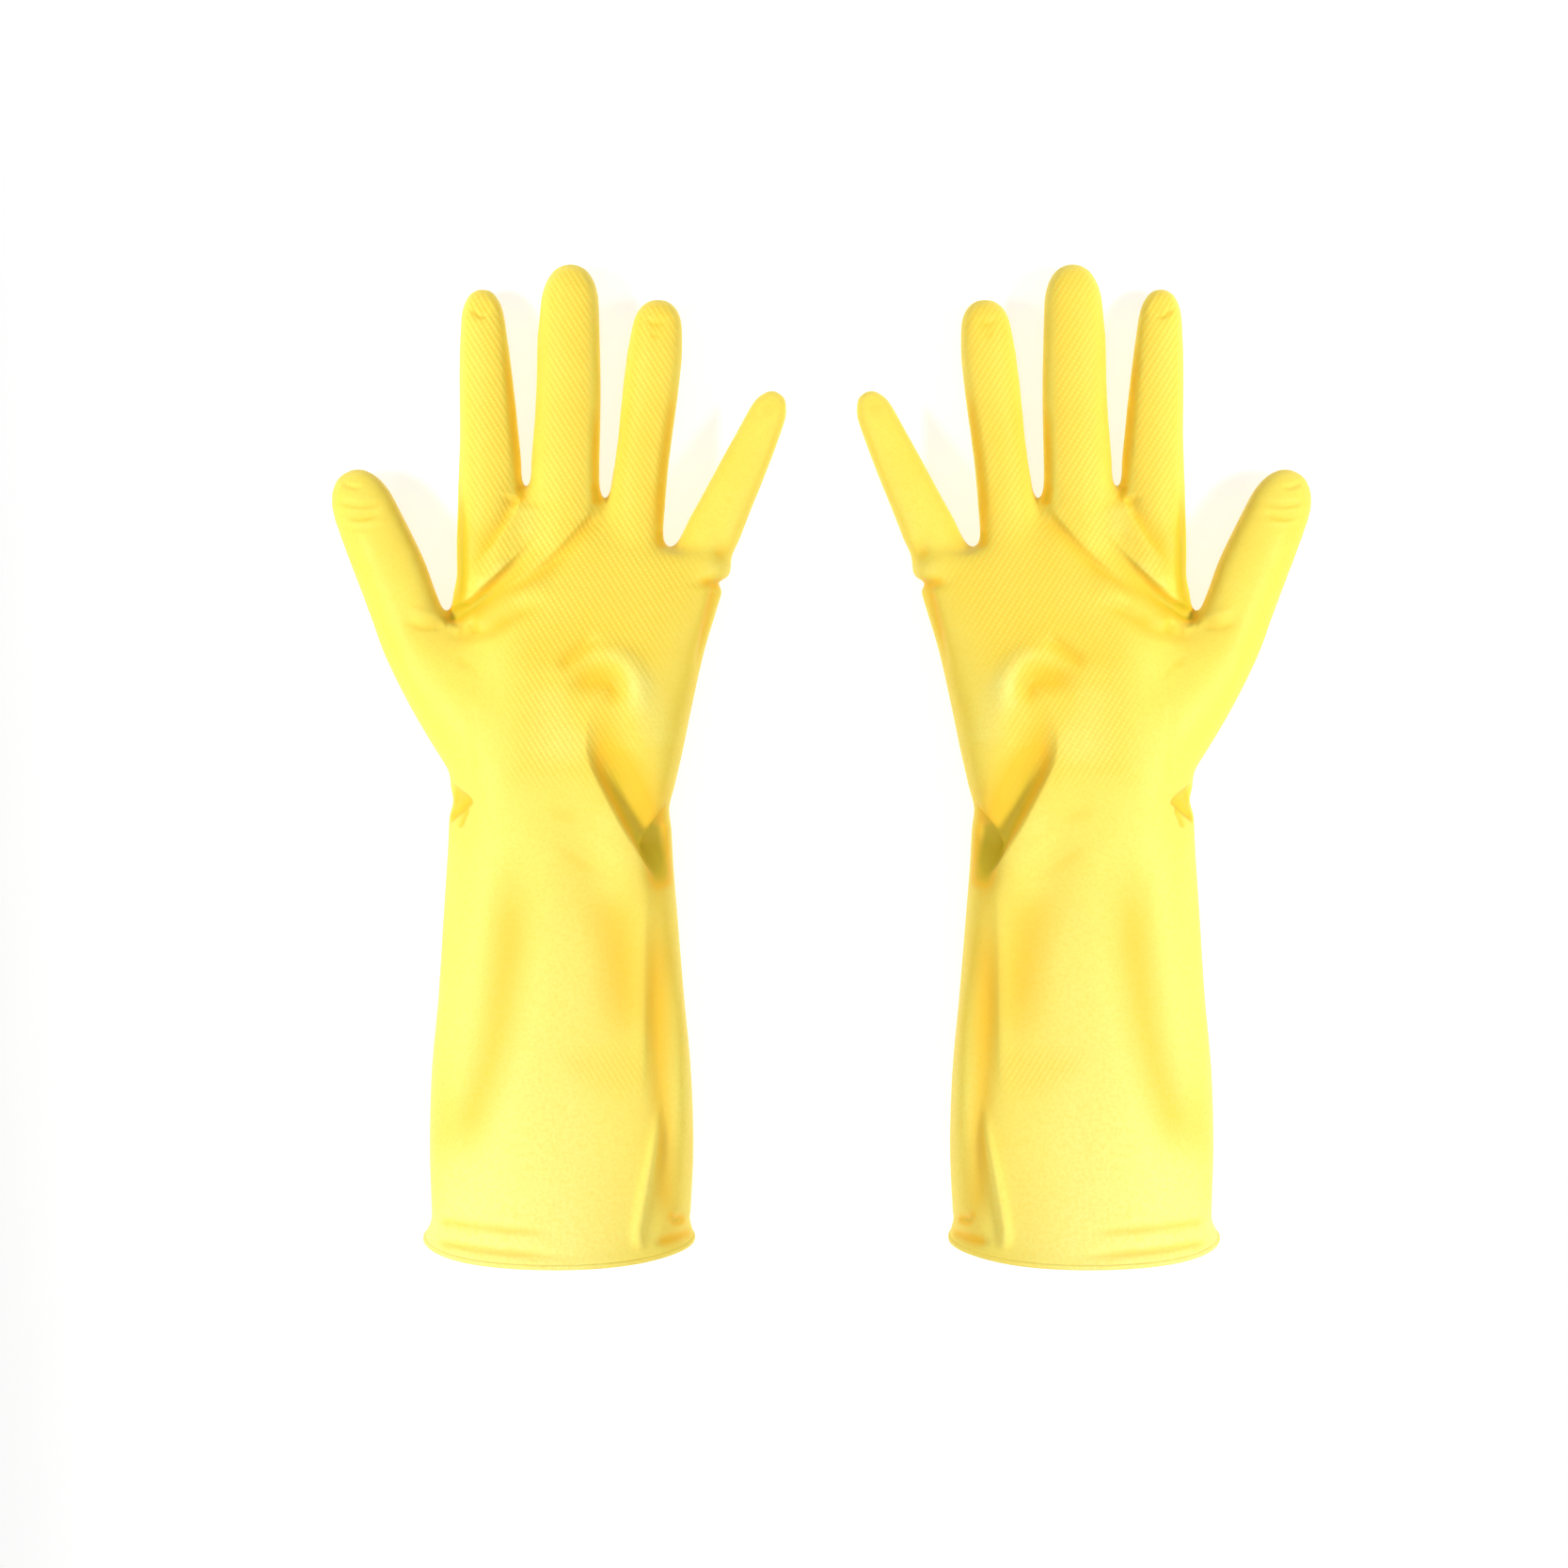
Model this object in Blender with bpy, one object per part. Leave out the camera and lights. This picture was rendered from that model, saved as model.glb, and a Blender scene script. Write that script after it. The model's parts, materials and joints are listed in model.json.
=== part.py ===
"""A pair of household rubber gloves, lying on their backs with the palms up.

Each glove is a dipped latex shell with a rolled bead at the mouth of its cuff, and a cotton
flock lining inside it.  Both layers are split where a glove flexes: a gauntlet, a palm, and for
each digit a base and a tip, with hinges at the wrist and at the root and middle of each digit.

The right glove is modelled first and the left one is its mirror image.  +X runs from the left
glove to the right one, +Y from the cuffs to the fingertips, and +Z up from the surface that
the backs of the gloves rest on.  The origin is the centre of the pair's footprint.  Sizes are
written in millimetres and the meshes are in metres.
"""
import math

import bmesh
import bpy
from mathutils import Matrix, Vector

MM = 0.001

# Layers of the glove wall
LATEX_THICKNESS = 0.5
LAYER_GAP = 0.3
FLOCK_THICKNESS = 0.4

# Room left at each flex line, on either side of it
FLEX_GAP = 0.3

# Facets round each section, and rings in each rounded tip
PALM_SIDES = 24
STALL_SIDES = 12
TIP_RINGS = 3

# Length of a rounded tip, as a share of its half depth
TIP_STRETCH = 1.15

# How square the sections are: 2 is an ellipse, more is squarer
PALM_SQUARENESS = 2.3
STALL_SQUARENESS = 2.1

# Edges that turn more than this many degrees stay sharp
SHARP_ANGLE = 50.0

# How far a cutter runs past the end that it opens
CUT_PAST = 4.0

# Gauntlet, from the wrist to the mouth: inner side, outer side and height of each section
WRIST_Y = -14.0
WRIST = (WRIST_Y, 48.4, 118.9, 41.0)
FOREARM = (-80.0, 43.2, 122.6, 47.0)
CUFF = (-118.0, 40.8, 125.0, 51.0)
MOUTH_Y = -148.94
MOUTH = (MOUTH_Y, 42.3, 124.2, 54.0)
MOUTH_LEAN = 0.30
# Share of the mouth's lean at the forearm and the cuff
FOREARM_LEAN_SHARE = 0.4
CUFF_LEAN_SHARE = 0.75
WRIST_BOTTOM = -1.2

# Rolled bead round the mouth
BEAD_RADIUS = 1.5
BEAD_SIDES = 8
BEAD_FLARE = 1.3

# Palm, from the wrist to the web between the fingers: y, inner side, outer side, bottom, top
PALM_SECTIONS = (
    (WRIST_Y, 48.4, 118.9, -1.2, 41.0),
    (8.0, 43.2, 119.4, -1.6, 41.0),
    (34.0, 37.4, 119.6, -1.0, 38.0),
    (58.0, 30.2, 117.6, 1.0, 31.5),
)
WEB_CENTRE = (68.0, 76.0)
WEB_HALF_WIDTH = 33.0
WEB_BOTTOM = 5.0
WEB_TOP = 24.5
WEB_SLOPE = 0.33

# Digits: centre of the base and of the very tip, half widths and half depths at base and tip,
# the distance from the base to the middle crease, and the sections of the root inside the palm
# (x, y, z, half width, half depth).  The thumb's root has one bend.
DIGITS = {
    "thumb": {
        "base": (131.3, 46.3, 17.0), "tip": (152.2, 95.0, 10.2),
        "half_width": (12.1, 10.2), "half_depth": (11.2, 9.8),
        "crease": 24.0,
        "root": ((99.0, -4.0, 18.5, 13.0, 16.0), (115.6, 18.2, 18.0, 12.6, 14.5)),
    },
    "index": {
        "base": (105.8, 88.6, 15.0), "tip": (108.5, 152.7, 8.2),
        "half_width": (10.5, 7.9), "half_depth": (10.2, 8.2),
        "crease": 28.0,
        "root": ((102.0, 50.0, 16.5, 10.0, 11.5),),
    },
    "middle": {
        "base": (82.1, 88.9, 15.2), "tip": (80.8, 160.4, 9.3),
        "half_width": (11.1, 9.7), "half_depth": (10.7, 9.3),
        "crease": 31.0,
        "root": ((81.5, 50.0, 16.5, 11.5, 13.0),),
    },
    "ring": {
        "base": (59.9, 82.6, 14.8), "tip": (52.4, 149.1, 8.6),
        "half_width": (9.6, 8.8), "half_depth": (9.9, 8.6),
        "crease": 28.0,
        "root": ((63.0, 48.0, 16.3, 11.0, 12.5),),
    },
    "little": {
        "base": (36.7, 71.0, 14.0), "tip": (14.6, 120.2, 7.0),
        "half_width": (8.8, 6.6), "half_depth": (8.8, 7.0),
        "crease": 23.0,
        "root": ((47.5, 46.0, 16.0, 9.5, 11.0),),
    },
}

SHELL_COLOUR = (0.95, 0.78, 0.09, 1.0)
FLOCK_COLOUR = (0.93, 0.86, 0.52, 1.0)


def clear_scene():
    for item in list(bpy.data.objects):
        bpy.data.objects.remove(item, do_unlink=True)


def make_material(name, colour, roughness):
    material = bpy.data.materials.new(name)
    material.use_nodes = True
    shader = material.node_tree.nodes["Principled BSDF"]
    shader.inputs["Base Color"].default_value = colour
    shader.inputs["Roughness"].default_value = roughness
    shader.inputs["Metallic"].default_value = 0.0
    material.diffuse_color = colour
    return material


def section(centre, across, up, half_width, half_depth, sides, squareness, floor=None):
    """Points round a flattened-circle section, kept above a floor where one is given."""
    power = 2.0 / squareness
    points = []
    for step in range(sides):
        turn = 2.0 * math.pi * (step + 0.5) / sides
        along = math.copysign(abs(math.cos(turn)) ** power, math.cos(turn))
        above = math.copysign(abs(math.sin(turn)) ** power, math.sin(turn))
        point = centre + across * (half_width * along) + up * (half_depth * above)
        if floor is not None:
            point.z = max(point.z, floor)
        points.append(point)
    return points


def add_ring(mesh, points):
    return [mesh.verts.new(point * MM) for point in points]


def join_rings(mesh, first, second):
    count = len(first)
    for step in range(count):
        following = (step + 1) % count
        mesh.faces.new((first[step], first[following], second[following], second[step]))


def finish_mesh(mesh):
    """Splits every face into triangles, which stay flat, and turns them all outwards."""
    bmesh.ops.triangulate(mesh, faces=mesh.faces, quad_method="FIXED")
    bmesh.ops.recalc_face_normals(mesh, faces=mesh.faces)
    return mesh


def loft(rings):
    """A closed mesh through rings of points, with flat caps at its ends."""
    mesh = bmesh.new()
    loops = [add_ring(mesh, ring) for ring in rings]
    for first, second in zip(loops, loops[1:]):
        join_rings(mesh, first, second)
    mesh.faces.new(loops[0])
    mesh.faces.new(loops[-1])
    return finish_mesh(mesh)


def wall_surface(mesh, rings):
    """Joined rings in a mesh, returned as its first and last loops."""
    loops = [add_ring(mesh, ring) for ring in rings]
    for first, second in zip(loops, loops[1:]):
        join_rings(mesh, first, second)
    return loops[0], loops[-1]


def open_tube(outer_rings, inner_rings):
    """The wall between two nested surfaces, open at both ends."""
    mesh = bmesh.new()
    outer_start, outer_end = wall_surface(mesh, outer_rings)
    inner_start, inner_end = wall_surface(mesh, inner_rings)
    join_rings(mesh, outer_start, inner_start)
    join_rings(mesh, outer_end, inner_end)
    return finish_mesh(mesh)


def capped_tube(outer_rings, outer_point, inner_rings, inner_point):
    """The wall between two nested surfaces, open at its start and closed at its end."""
    mesh = bmesh.new()
    starts = []
    for rings, point in ((outer_rings, outer_point), (inner_rings, inner_point)):
        start, end = wall_surface(mesh, rings)
        apex = mesh.verts.new(point * MM)
        for step in range(len(end)):
            mesh.faces.new((end[step], end[(step + 1) % len(end)], apex))
        starts.append(start)
    join_rings(mesh, *starts)
    return finish_mesh(mesh)


def make_object(name, mesh, material):
    data = bpy.data.meshes.new(name)
    mesh.to_mesh(data)
    mesh.free()
    data.materials.append(material)
    data.shade_smooth()
    data.set_sharp_from_angle(angle=math.radians(SHARP_ANGLE))
    item = bpy.data.objects.new(name, data)
    bpy.context.scene.collection.objects.link(item)
    return item


def apply_boolean(target, tool, operation):
    """Joins or cuts the target with the tool, and removes the tool."""
    modifier = target.modifiers.new("cut", "BOOLEAN")
    modifier.operation = operation
    modifier.object = tool
    evaluated = target.evaluated_get(bpy.context.evaluated_depsgraph_get())
    result = bpy.data.meshes.new_from_object(evaluated)
    joined = bmesh.new()
    joined.from_mesh(result)
    bmesh.ops.triangulate(joined, faces=joined.faces)
    joined.to_mesh(result)
    joined.free()
    target.modifiers.clear()
    target.data = result
    bpy.data.objects.remove(tool, do_unlink=True)


def mirrored_mesh(mesh):
    """A copy on the other side of the pair's mirror plane, with its faces still pointing out."""
    copy = mesh.copy()
    copy.transform(Matrix.Scale(-1.0, 4, Vector((1.0, 0.0, 0.0))))
    copy.flip_normals()
    return copy


# ---- digits ---------------------------------------------------------------------------------

def digit_frame(digit):
    """Base point, tip point, and the directions along, across and up from a digit."""
    base = Vector(digit["base"])
    tip = Vector(digit["tip"])
    along = (tip - base).normalized()
    across = along.cross(Vector((0.0, 0.0, 1.0))).normalized()
    up = across.cross(along).normalized()
    return base, tip, along, across, up


def straight_length(digit, inset):
    """Distance from a digit's base to where its rounded tip starts."""
    base, tip, _, _, _ = digit_frame(digit)
    return (tip - base).length - inset - tip_length(digit, inset)


def tip_length(digit, inset):
    return (digit["half_depth"][1] - inset) * TIP_STRETCH


def digit_ring(digit, distance, inset):
    """The section at a distance from the digit's base, moved in from the outer surface."""
    base, _, along, across, up = digit_frame(digit)
    straight = straight_length(digit, inset)
    part = min(distance / straight, 1.0)
    beyond = max(distance - straight, 0.0) / tip_length(digit, inset)
    shrink = math.sqrt(1.0 - min(beyond, 1.0) ** 2)
    widths, depths = digit["half_width"], digit["half_depth"]
    half_width = (widths[0] + (widths[1] - widths[0]) * part - inset) * shrink
    half_depth = (depths[0] + (depths[1] - depths[0]) * part - inset) * shrink
    return section(base + along * distance, across, up, half_width, half_depth,
                   STALL_SIDES, STALL_SQUARENESS, inset)


def base_rings(digit, inset):
    """The two ends of a digit's base, from its root to its middle crease."""
    return [digit_ring(digit, distance, inset)
            for distance in (FLEX_GAP, digit["crease"] - FLEX_GAP)]


def tip_rings(digit, inset):
    """Rings from a digit's middle crease to near its end, and the point that closes it."""
    base, tip, along, _, _ = digit_frame(digit)
    straight = straight_length(digit, inset)
    distances = [digit["crease"] + FLEX_GAP, straight]
    for step in range(1, TIP_RINGS):
        turn = 0.5 * math.pi * step / TIP_RINGS
        distances.append(straight + tip_length(digit, inset) * math.sin(turn))
    rings = [digit_ring(digit, distance, inset) for distance in distances]
    return rings, tip - along * inset


def base_layer(digit, outer_inset, thickness):
    """One layer of a digit's base: a tube open at both ends."""
    return open_tube(base_rings(digit, outer_inset), base_rings(digit, outer_inset + thickness))


def tip_layer(digit, outer_inset, thickness):
    """One layer of a digit's tip: a tube with a rounded end."""
    outer, outer_end = tip_rings(digit, outer_inset)
    inner, inner_end = tip_rings(digit, outer_inset + thickness)
    return capped_tube(outer, outer_end, inner, inner_end)


# ---- gauntlet and bead ----------------------------------------------------------------------

def gauntlet_ring(row, lean, inset):
    y, inner, outer, top = row
    bottom = WRIST_BOTTOM
    centre = Vector(((inner + outer) / 2, y, (bottom + top) / 2))
    across = Vector((1.0, 0.0, 0.0))
    up = Vector((0.0, -lean, 1.0))
    return section(centre, across, up, (outer - inner) / 2 - inset, (top - bottom) / 2 - inset,
                   PALM_SIDES, PALM_SQUARENESS, inset)


def gauntlet_rings(inset):
    """Rings from the wrist to the mouth, whose palm side reaches further than its back."""
    start = (WRIST_Y - FLEX_GAP,) + WRIST[1:]
    rows = (start, FOREARM, CUFF, MOUTH)
    leans = (0.0, MOUTH_LEAN * FOREARM_LEAN_SHARE, MOUTH_LEAN * CUFF_LEAN_SHARE, MOUTH_LEAN)
    return [gauntlet_ring(row, lean, inset) for row, lean in zip(rows, leans)]


def gauntlet_layer(outer_inset, thickness):
    """One layer of the gauntlet: a tube open at the wrist and at the mouth."""
    return open_tube(gauntlet_rings(outer_inset), gauntlet_rings(outer_inset + thickness))


def bead_mesh():
    """The rolled edge of the latex: a round cord-like ring just past the gauntlet's rim."""
    middle_y = MOUTH_Y - BEAD_RADIUS - LAYER_GAP
    row = (middle_y,) + MOUTH[1:]
    bottom = WRIST_BOTTOM
    spine = gauntlet_ring(row, MOUTH_LEAN, -BEAD_FLARE + BEAD_RADIUS)
    centre = Vector(((row[1] + row[2]) / 2, middle_y, (bottom + row[3]) / 2))
    backward = Vector((0.0, -1.0, 0.0))
    mesh = bmesh.new()
    loops = []
    for step in range(BEAD_SIDES):
        turn = 2.0 * math.pi * step / BEAD_SIDES
        ring = []
        for point in spine:
            outward = Vector((point.x - centre.x, 0.0, point.z - centre.z)).normalized()
            offset = outward * math.cos(turn) + backward * math.sin(turn)
            moved = point + offset * BEAD_RADIUS
            moved.z = max(moved.z, 0.0)
            ring.append(moved)
        loops.append(add_ring(mesh, ring))
    for step in range(BEAD_SIDES):
        join_rings(mesh, loops[step], loops[(step + 1) % BEAD_SIDES])
    return finish_mesh(mesh)


# ---- palm -----------------------------------------------------------------------------------

def palm_ring(y, inner, outer, bottom, top, inset):
    centre = Vector(((inner + outer) / 2, y, (bottom + top) / 2))
    return section(centre, Vector((1.0, 0.0, 0.0)), Vector((0.0, 0.0, 1.0)),
                   (outer - inner) / 2 - inset, (top - bottom) / 2 - inset,
                   PALM_SIDES, PALM_SQUARENESS, inset)


def palm_body_rings(inset, past_wrist):
    """Rings from the wrist to the web between the fingers."""
    wrist_size = PALM_SECTIONS[0][1:]
    rings = [palm_ring(WRIST_Y + FLEX_GAP, *wrist_size, inset)]
    if past_wrist:
        rings.insert(0, palm_ring(WRIST_Y - past_wrist, *wrist_size, inset))
    rings += [palm_ring(*row, inset) for row in PALM_SECTIONS[1:]]
    centre = Vector((WEB_CENTRE[0], WEB_CENTRE[1] - inset, (WEB_BOTTOM + WEB_TOP) / 2))
    rings.append(section(centre, Vector((1.0, WEB_SLOPE, 0.0)), Vector((0.0, 0.0, 1.0)),
                         WEB_HALF_WIDTH - inset, (WEB_TOP - WEB_BOTTOM) / 2 - inset,
                         PALM_SIDES, PALM_SQUARENESS, inset))
    return rings


def root_rings(digit, inset, past_base):
    """Rings of a digit's root, from inside the palm to the flex line at the stall's base."""
    base, _, along, across, up = digit_frame(digit)
    places = [Vector(row[:3]) for row in digit["root"]] + [base]
    upright = Vector((0.0, 0.0, 1.0))
    rings = []
    for index, row in enumerate(digit["root"]):
        heading = (places[index + 1] - places[index]).normalized()
        place = places[index]
        if index == 0:
            place = place + heading * inset
        rings.append(section(place, heading.cross(upright).normalized(), upright,
                             row[3] - inset, row[4] - inset,
                             STALL_SIDES, STALL_SQUARENESS, inset))
    ends = [-FLEX_GAP, past_base] if past_base else [-FLEX_GAP]
    for distance in ends:
        rings.append(section(base + along * distance, across, up,
                             digit["half_width"][0] - inset, digit["half_depth"][0] - inset,
                             STALL_SIDES, STALL_SQUARENESS, inset))
    return rings


def palm_form(inset, past_ends, name, material):
    """A closed solid of the palm with the roots of the five digits, moved in by the inset."""
    form = make_object(name, loft(palm_body_rings(inset, past_ends)), material)
    for digit_name, digit in DIGITS.items():
        root = make_object(digit_name + "_root", loft(root_rings(digit, inset, past_ends)), material)
        apply_boolean(form, root, "UNION")
    return form


def palm_layer(name, outer_inset, thickness, material):
    """One layer of the palm, open at the wrist and at the root of each digit."""
    layer = palm_form(outer_inset, 0.0, name, material)
    hollow = palm_form(outer_inset + thickness, CUT_PAST, name + "_hollow", material)
    apply_boolean(layer, hollow, "DIFFERENCE")
    return layer


# ---- the pair -------------------------------------------------------------------------------

def hinge_point(digit, distance):
    """The palm side of a digit at a distance from its base, where it creases as it curls."""
    base, _, along, _, up = digit_frame(digit)
    part = distance / straight_length(digit, 0.0)
    depths = digit["half_depth"]
    half_depth = depths[0] + (depths[1] - depths[0]) * part
    return base + along * distance + up * (half_depth + FLEX_GAP)


def make_glove_pieces(shell, flock):
    """All the pieces of the right glove, each with the place of its origin."""
    lining_inset = LATEX_THICKNESS + LAYER_GAP
    wrist = Vector(((WRIST[1] + WRIST[2]) / 2, WRIST_Y, WRIST[3] + FLEX_GAP))
    palm_origin = Vector((wrist.x, WRIST_Y, 0.0))
    pieces = {
        "palm": (palm_layer("palm", 0.0, LATEX_THICKNESS, shell), palm_origin),
        "palm_lining": (palm_layer("palm_lining", lining_inset, FLOCK_THICKNESS, flock), palm_origin),
        "gauntlet": (make_object("gauntlet", gauntlet_layer(0.0, LATEX_THICKNESS), shell), wrist),
        "gauntlet_lining": (make_object("gauntlet_lining",
                                        gauntlet_layer(lining_inset, FLOCK_THICKNESS), flock), wrist),
        "cuff_bead": (make_object("cuff_bead", bead_mesh(), shell), wrist),
    }
    for name, digit in DIGITS.items():
        for zone, layer, distance in (("base", base_layer, 0.0), ("tip", tip_layer, digit["crease"])):
            origin = hinge_point(digit, distance)
            node = f"{name}_{zone}"
            stall = layer(digit, 0.0, LATEX_THICKNESS)
            lining = layer(digit, lining_inset, FLOCK_THICKNESS)
            pieces[node] = (make_object(node, stall, shell), origin)
            pieces[node + "_lining"] = (make_object(node + "_lining", lining, flock), origin)
    return pieces


def place_origin(item, point):
    """Moves an object's origin to a point without moving its mesh in the world."""
    shift = point * MM
    item.data.transform(Matrix.Translation(-shift))
    item.location = shift


def build_pair():
    clear_scene()
    shell = make_material("latex", SHELL_COLOUR, 0.42)
    flock = make_material("cotton_flock", FLOCK_COLOUR, 0.95)
    for name, (piece, origin) in make_glove_pieces(shell, flock).items():
        left_mesh = mirrored_mesh(piece.data)
        left_piece = bpy.data.objects.new("left_" + name, left_mesh)
        bpy.context.scene.collection.objects.link(left_piece)
        piece.name = "right_" + name
        place_origin(piece, origin)
        place_origin(left_piece, Vector((-origin.x, origin.y, origin.z)))


build_pair()
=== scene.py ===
"""A pair of household rubber gloves: the finished skin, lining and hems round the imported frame.

The right glove is made first, in millimetres, and the left one is its mirror image.  A glove
starts as smooth closed forms, one for the hand and gauntlet and one for each digit, which are
fused into one skin.  The skin is then creased, embossed, cut into the zones that flex, and given
its thickness.  A flock lining and a rolled bead finish it.
"""
import json
import math

import bpy
import numpy as np
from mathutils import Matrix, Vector


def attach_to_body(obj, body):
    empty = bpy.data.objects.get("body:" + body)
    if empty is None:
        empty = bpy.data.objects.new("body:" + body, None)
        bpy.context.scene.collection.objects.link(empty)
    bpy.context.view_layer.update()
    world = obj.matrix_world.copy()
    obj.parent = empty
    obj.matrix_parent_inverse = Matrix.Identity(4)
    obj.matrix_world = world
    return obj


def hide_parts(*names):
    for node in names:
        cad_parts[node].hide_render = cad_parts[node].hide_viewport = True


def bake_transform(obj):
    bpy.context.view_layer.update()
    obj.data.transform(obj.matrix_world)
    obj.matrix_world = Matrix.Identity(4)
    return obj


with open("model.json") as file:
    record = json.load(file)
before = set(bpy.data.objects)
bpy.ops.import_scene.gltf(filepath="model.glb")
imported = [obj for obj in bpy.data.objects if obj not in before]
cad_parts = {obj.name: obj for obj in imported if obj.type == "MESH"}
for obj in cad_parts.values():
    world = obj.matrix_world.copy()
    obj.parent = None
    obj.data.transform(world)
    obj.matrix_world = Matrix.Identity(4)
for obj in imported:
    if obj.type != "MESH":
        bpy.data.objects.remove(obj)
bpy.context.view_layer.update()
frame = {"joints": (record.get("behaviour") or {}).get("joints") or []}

MM = 0.001
UP = np.array((0.0, 0.0, 1.0))
DIGITS = ("thumb", "index", "middle", "ring", "little")

# Voxel of the fused skin, and the layers of the wall, in millimetres
VOXEL = 1.15
LATEX = 0.5
FLOCK_GAP = 0.15
FLOCK = 0.4

# Hand and gauntlet: y, inner side, outer side, bottom, top
BODY_SECTIONS = (
    (-170, 41.9, 124.3, -1, 54.5),
    (-150, 41.9, 124.2, -1.2, 54),
    (-140, 41.5, 124.4, -1.4, 53),
    (-122, 40.8, 125, -1.6, 51),
    (-98, 41.6, 124.4, -1.6, 48.5),
    (-74, 43.8, 122.3, -1.6, 46),
    (-50, 45.8, 120.8, -1.6, 43.5),
    (-28, 47.4, 119.4, -1.6, 41.5),
    (-12, 47.6, 118.8, -1.6, 40.5),
    (4, 44.3, 118.4, -1.6, 40.5),
    (20, 41, 118.8, -1.6, 39.8),
    (36, 37.4, 119.2, -1.2, 37.6),
    (50, 33.2, 118.4, -0.2, 34.2),
    (60, 30.4, 116.4, 1.4, 31),
    (68, 30.6, 112, 3.4, 28.2),
)
# The web between the fingers: y at its middle, its slope across the palm, and its half width
WEB = (75.6, 0.42, 33.0)

# Digits: x, y, z, half width and half depth of each section, from inside the palm to the tip
DIGIT_SECTIONS = {
    "thumb": (
        (97, -12, 19, 11, 16.5), (106, 2, 19.4, 13, 18.4),
        (118, 21, 18.9, 13, 16.6), (128.2, 38, 17.4, 11.7, 12.8),
        (133.4, 50.5, 16.4, 11.2, 11.4), (136.9, 60, 15.2, 11.3, 11),
        (141.2, 70, 13.9, 10.9, 10.6), (145.3, 79.3, 12.4, 10.3, 10.2),
    ),
    "index": (
        (103.5, 44, 16.8, 11.8, 12.5), (105.1, 66, 16.2, 11.6, 12),
        (105.9, 84, 15.2, 10.4, 10.7), (105.9, 94, 14.2, 10.2, 10),
        (106.3, 106, 12.8, 9.5, 9.4), (107.1, 119, 11.2, 8.9, 9),
        (107.9, 132, 9.7, 8.1, 8.4), (108.3, 140, 8.8, 7.3, 7.8),
    ),
    "middle": (
        (81.5, 44, 17.2, 11.5, 13.2), (82, 66, 16.6, 12, 12.4),
        (82, 84, 15.4, 11.3, 11.1), (82, 94, 14.6, 11.1, 10.5),
        (81.3, 108, 13.2, 10.7, 10.2), (80.9, 122, 11.8, 10.4, 9.9),
        (80.9, 136, 10.6, 10.1, 9.6), (80.6, 146, 9.8, 9.5, 9.2),
    ),
    "ring": (
        (63.5, 42, 16.8, 11, 12.8), (62, 62, 16.2, 11, 12),
        (59.8, 78, 15.2, 9.6, 10.5), (58, 92, 13.8, 8.8, 9.7),
        (56.5, 104, 12.5, 8.7, 9.3), (54.9, 118, 11, 9, 9.2),
        (53.4, 131, 9.8, 8.9, 9), (52.7, 138.5, 9.2, 8.2, 8.6),
    ),
    "little": (
        (48.5, 40, 16.2, 9.5, 11.4), (43, 55, 15.6, 9.8, 10.6),
        (36.6, 70, 14.2, 9.2, 9.2), (30.6, 83, 12.2, 8.2, 8.4),
        (25.7, 93.5, 10.6, 7.6, 8), (21.3, 103, 9, 6.9, 7.6),
        (18.2, 110, 7.9, 6.3, 7.1),
    ),
}
# Length of the rounded end past each digit's last section
TIP_LENGTHS = {"thumb": 16.0, "index": 12.6, "middle": 14.4, "ring": 10.6, "little": 10.6}

# Rows and sides of the closed forms, and the steps of a rounded end
BODY_ROWS, BODY_SIDES = 120, 96
DIGIT_ROWS, DIGIT_SIDES = 60, 48
END_STEPS = 12

BODY_SQUARENESS = 2.3
DIGIT_SQUARENESS = 2.15
# How much squarer the palm side is towards the inner edge
INNER_EDGE = 1.2
# How much rounder it is there at the mouth
MOUTH_ROUNDING = 0.35


# ---- smooth closed forms ----

def smooth_rows(rows, count):
    """Rows read at even steps along a smooth curve through the given rows."""
    rows = np.array(rows, float)
    padded = np.vstack((2 * rows[0] - rows[1], rows, 2 * rows[-1] - rows[-2]))
    places = np.linspace(0.0, len(rows) - 1.0, count)
    start = np.minimum(places.astype(int), len(rows) - 2)
    t = (places - start)[:, None]
    before, first, second, after = (padded[start + step] for step in range(4))
    return 0.5 * (2 * first + (second - before) * t
                  + (2 * before - 5 * first + 4 * second - after) * t ** 2
                  + (3 * first - before - 3 * second + after) * t ** 3)


def section_points(centre, across, up, half_width, half_depth, sides, squareness,
                   inner_edge=INNER_EDGE):
    turns = 2 * np.pi * (np.arange(sides) + 0.5) / sides
    cosine, sine = np.cos(turns), np.sin(turns)
    power = 2.0 / np.where((cosine < 0) & (sine > 0), squareness + inner_edge, squareness)
    along = np.sign(cosine) * np.abs(cosine) ** power * half_width
    above = np.sign(sine) * np.abs(sine) ** power * half_depth
    return centre + along[:, None] * across + above[:, None] * up


def closed_form(rings):
    """Vertices and faces of a closed loft through rings of points."""
    sides = len(rings[0])
    last = (len(rings) - 1) * sides
    faces = []
    for low in range(0, last, sides):
        for side in range(sides):
            after = (side + 1) % sides
            faces.append((low + side, low + after, low + sides + after, low + sides + side))
    faces += [tuple(range(sides))[::-1], tuple(range(last, last + sides))]
    return np.vstack(rings), faces


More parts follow.
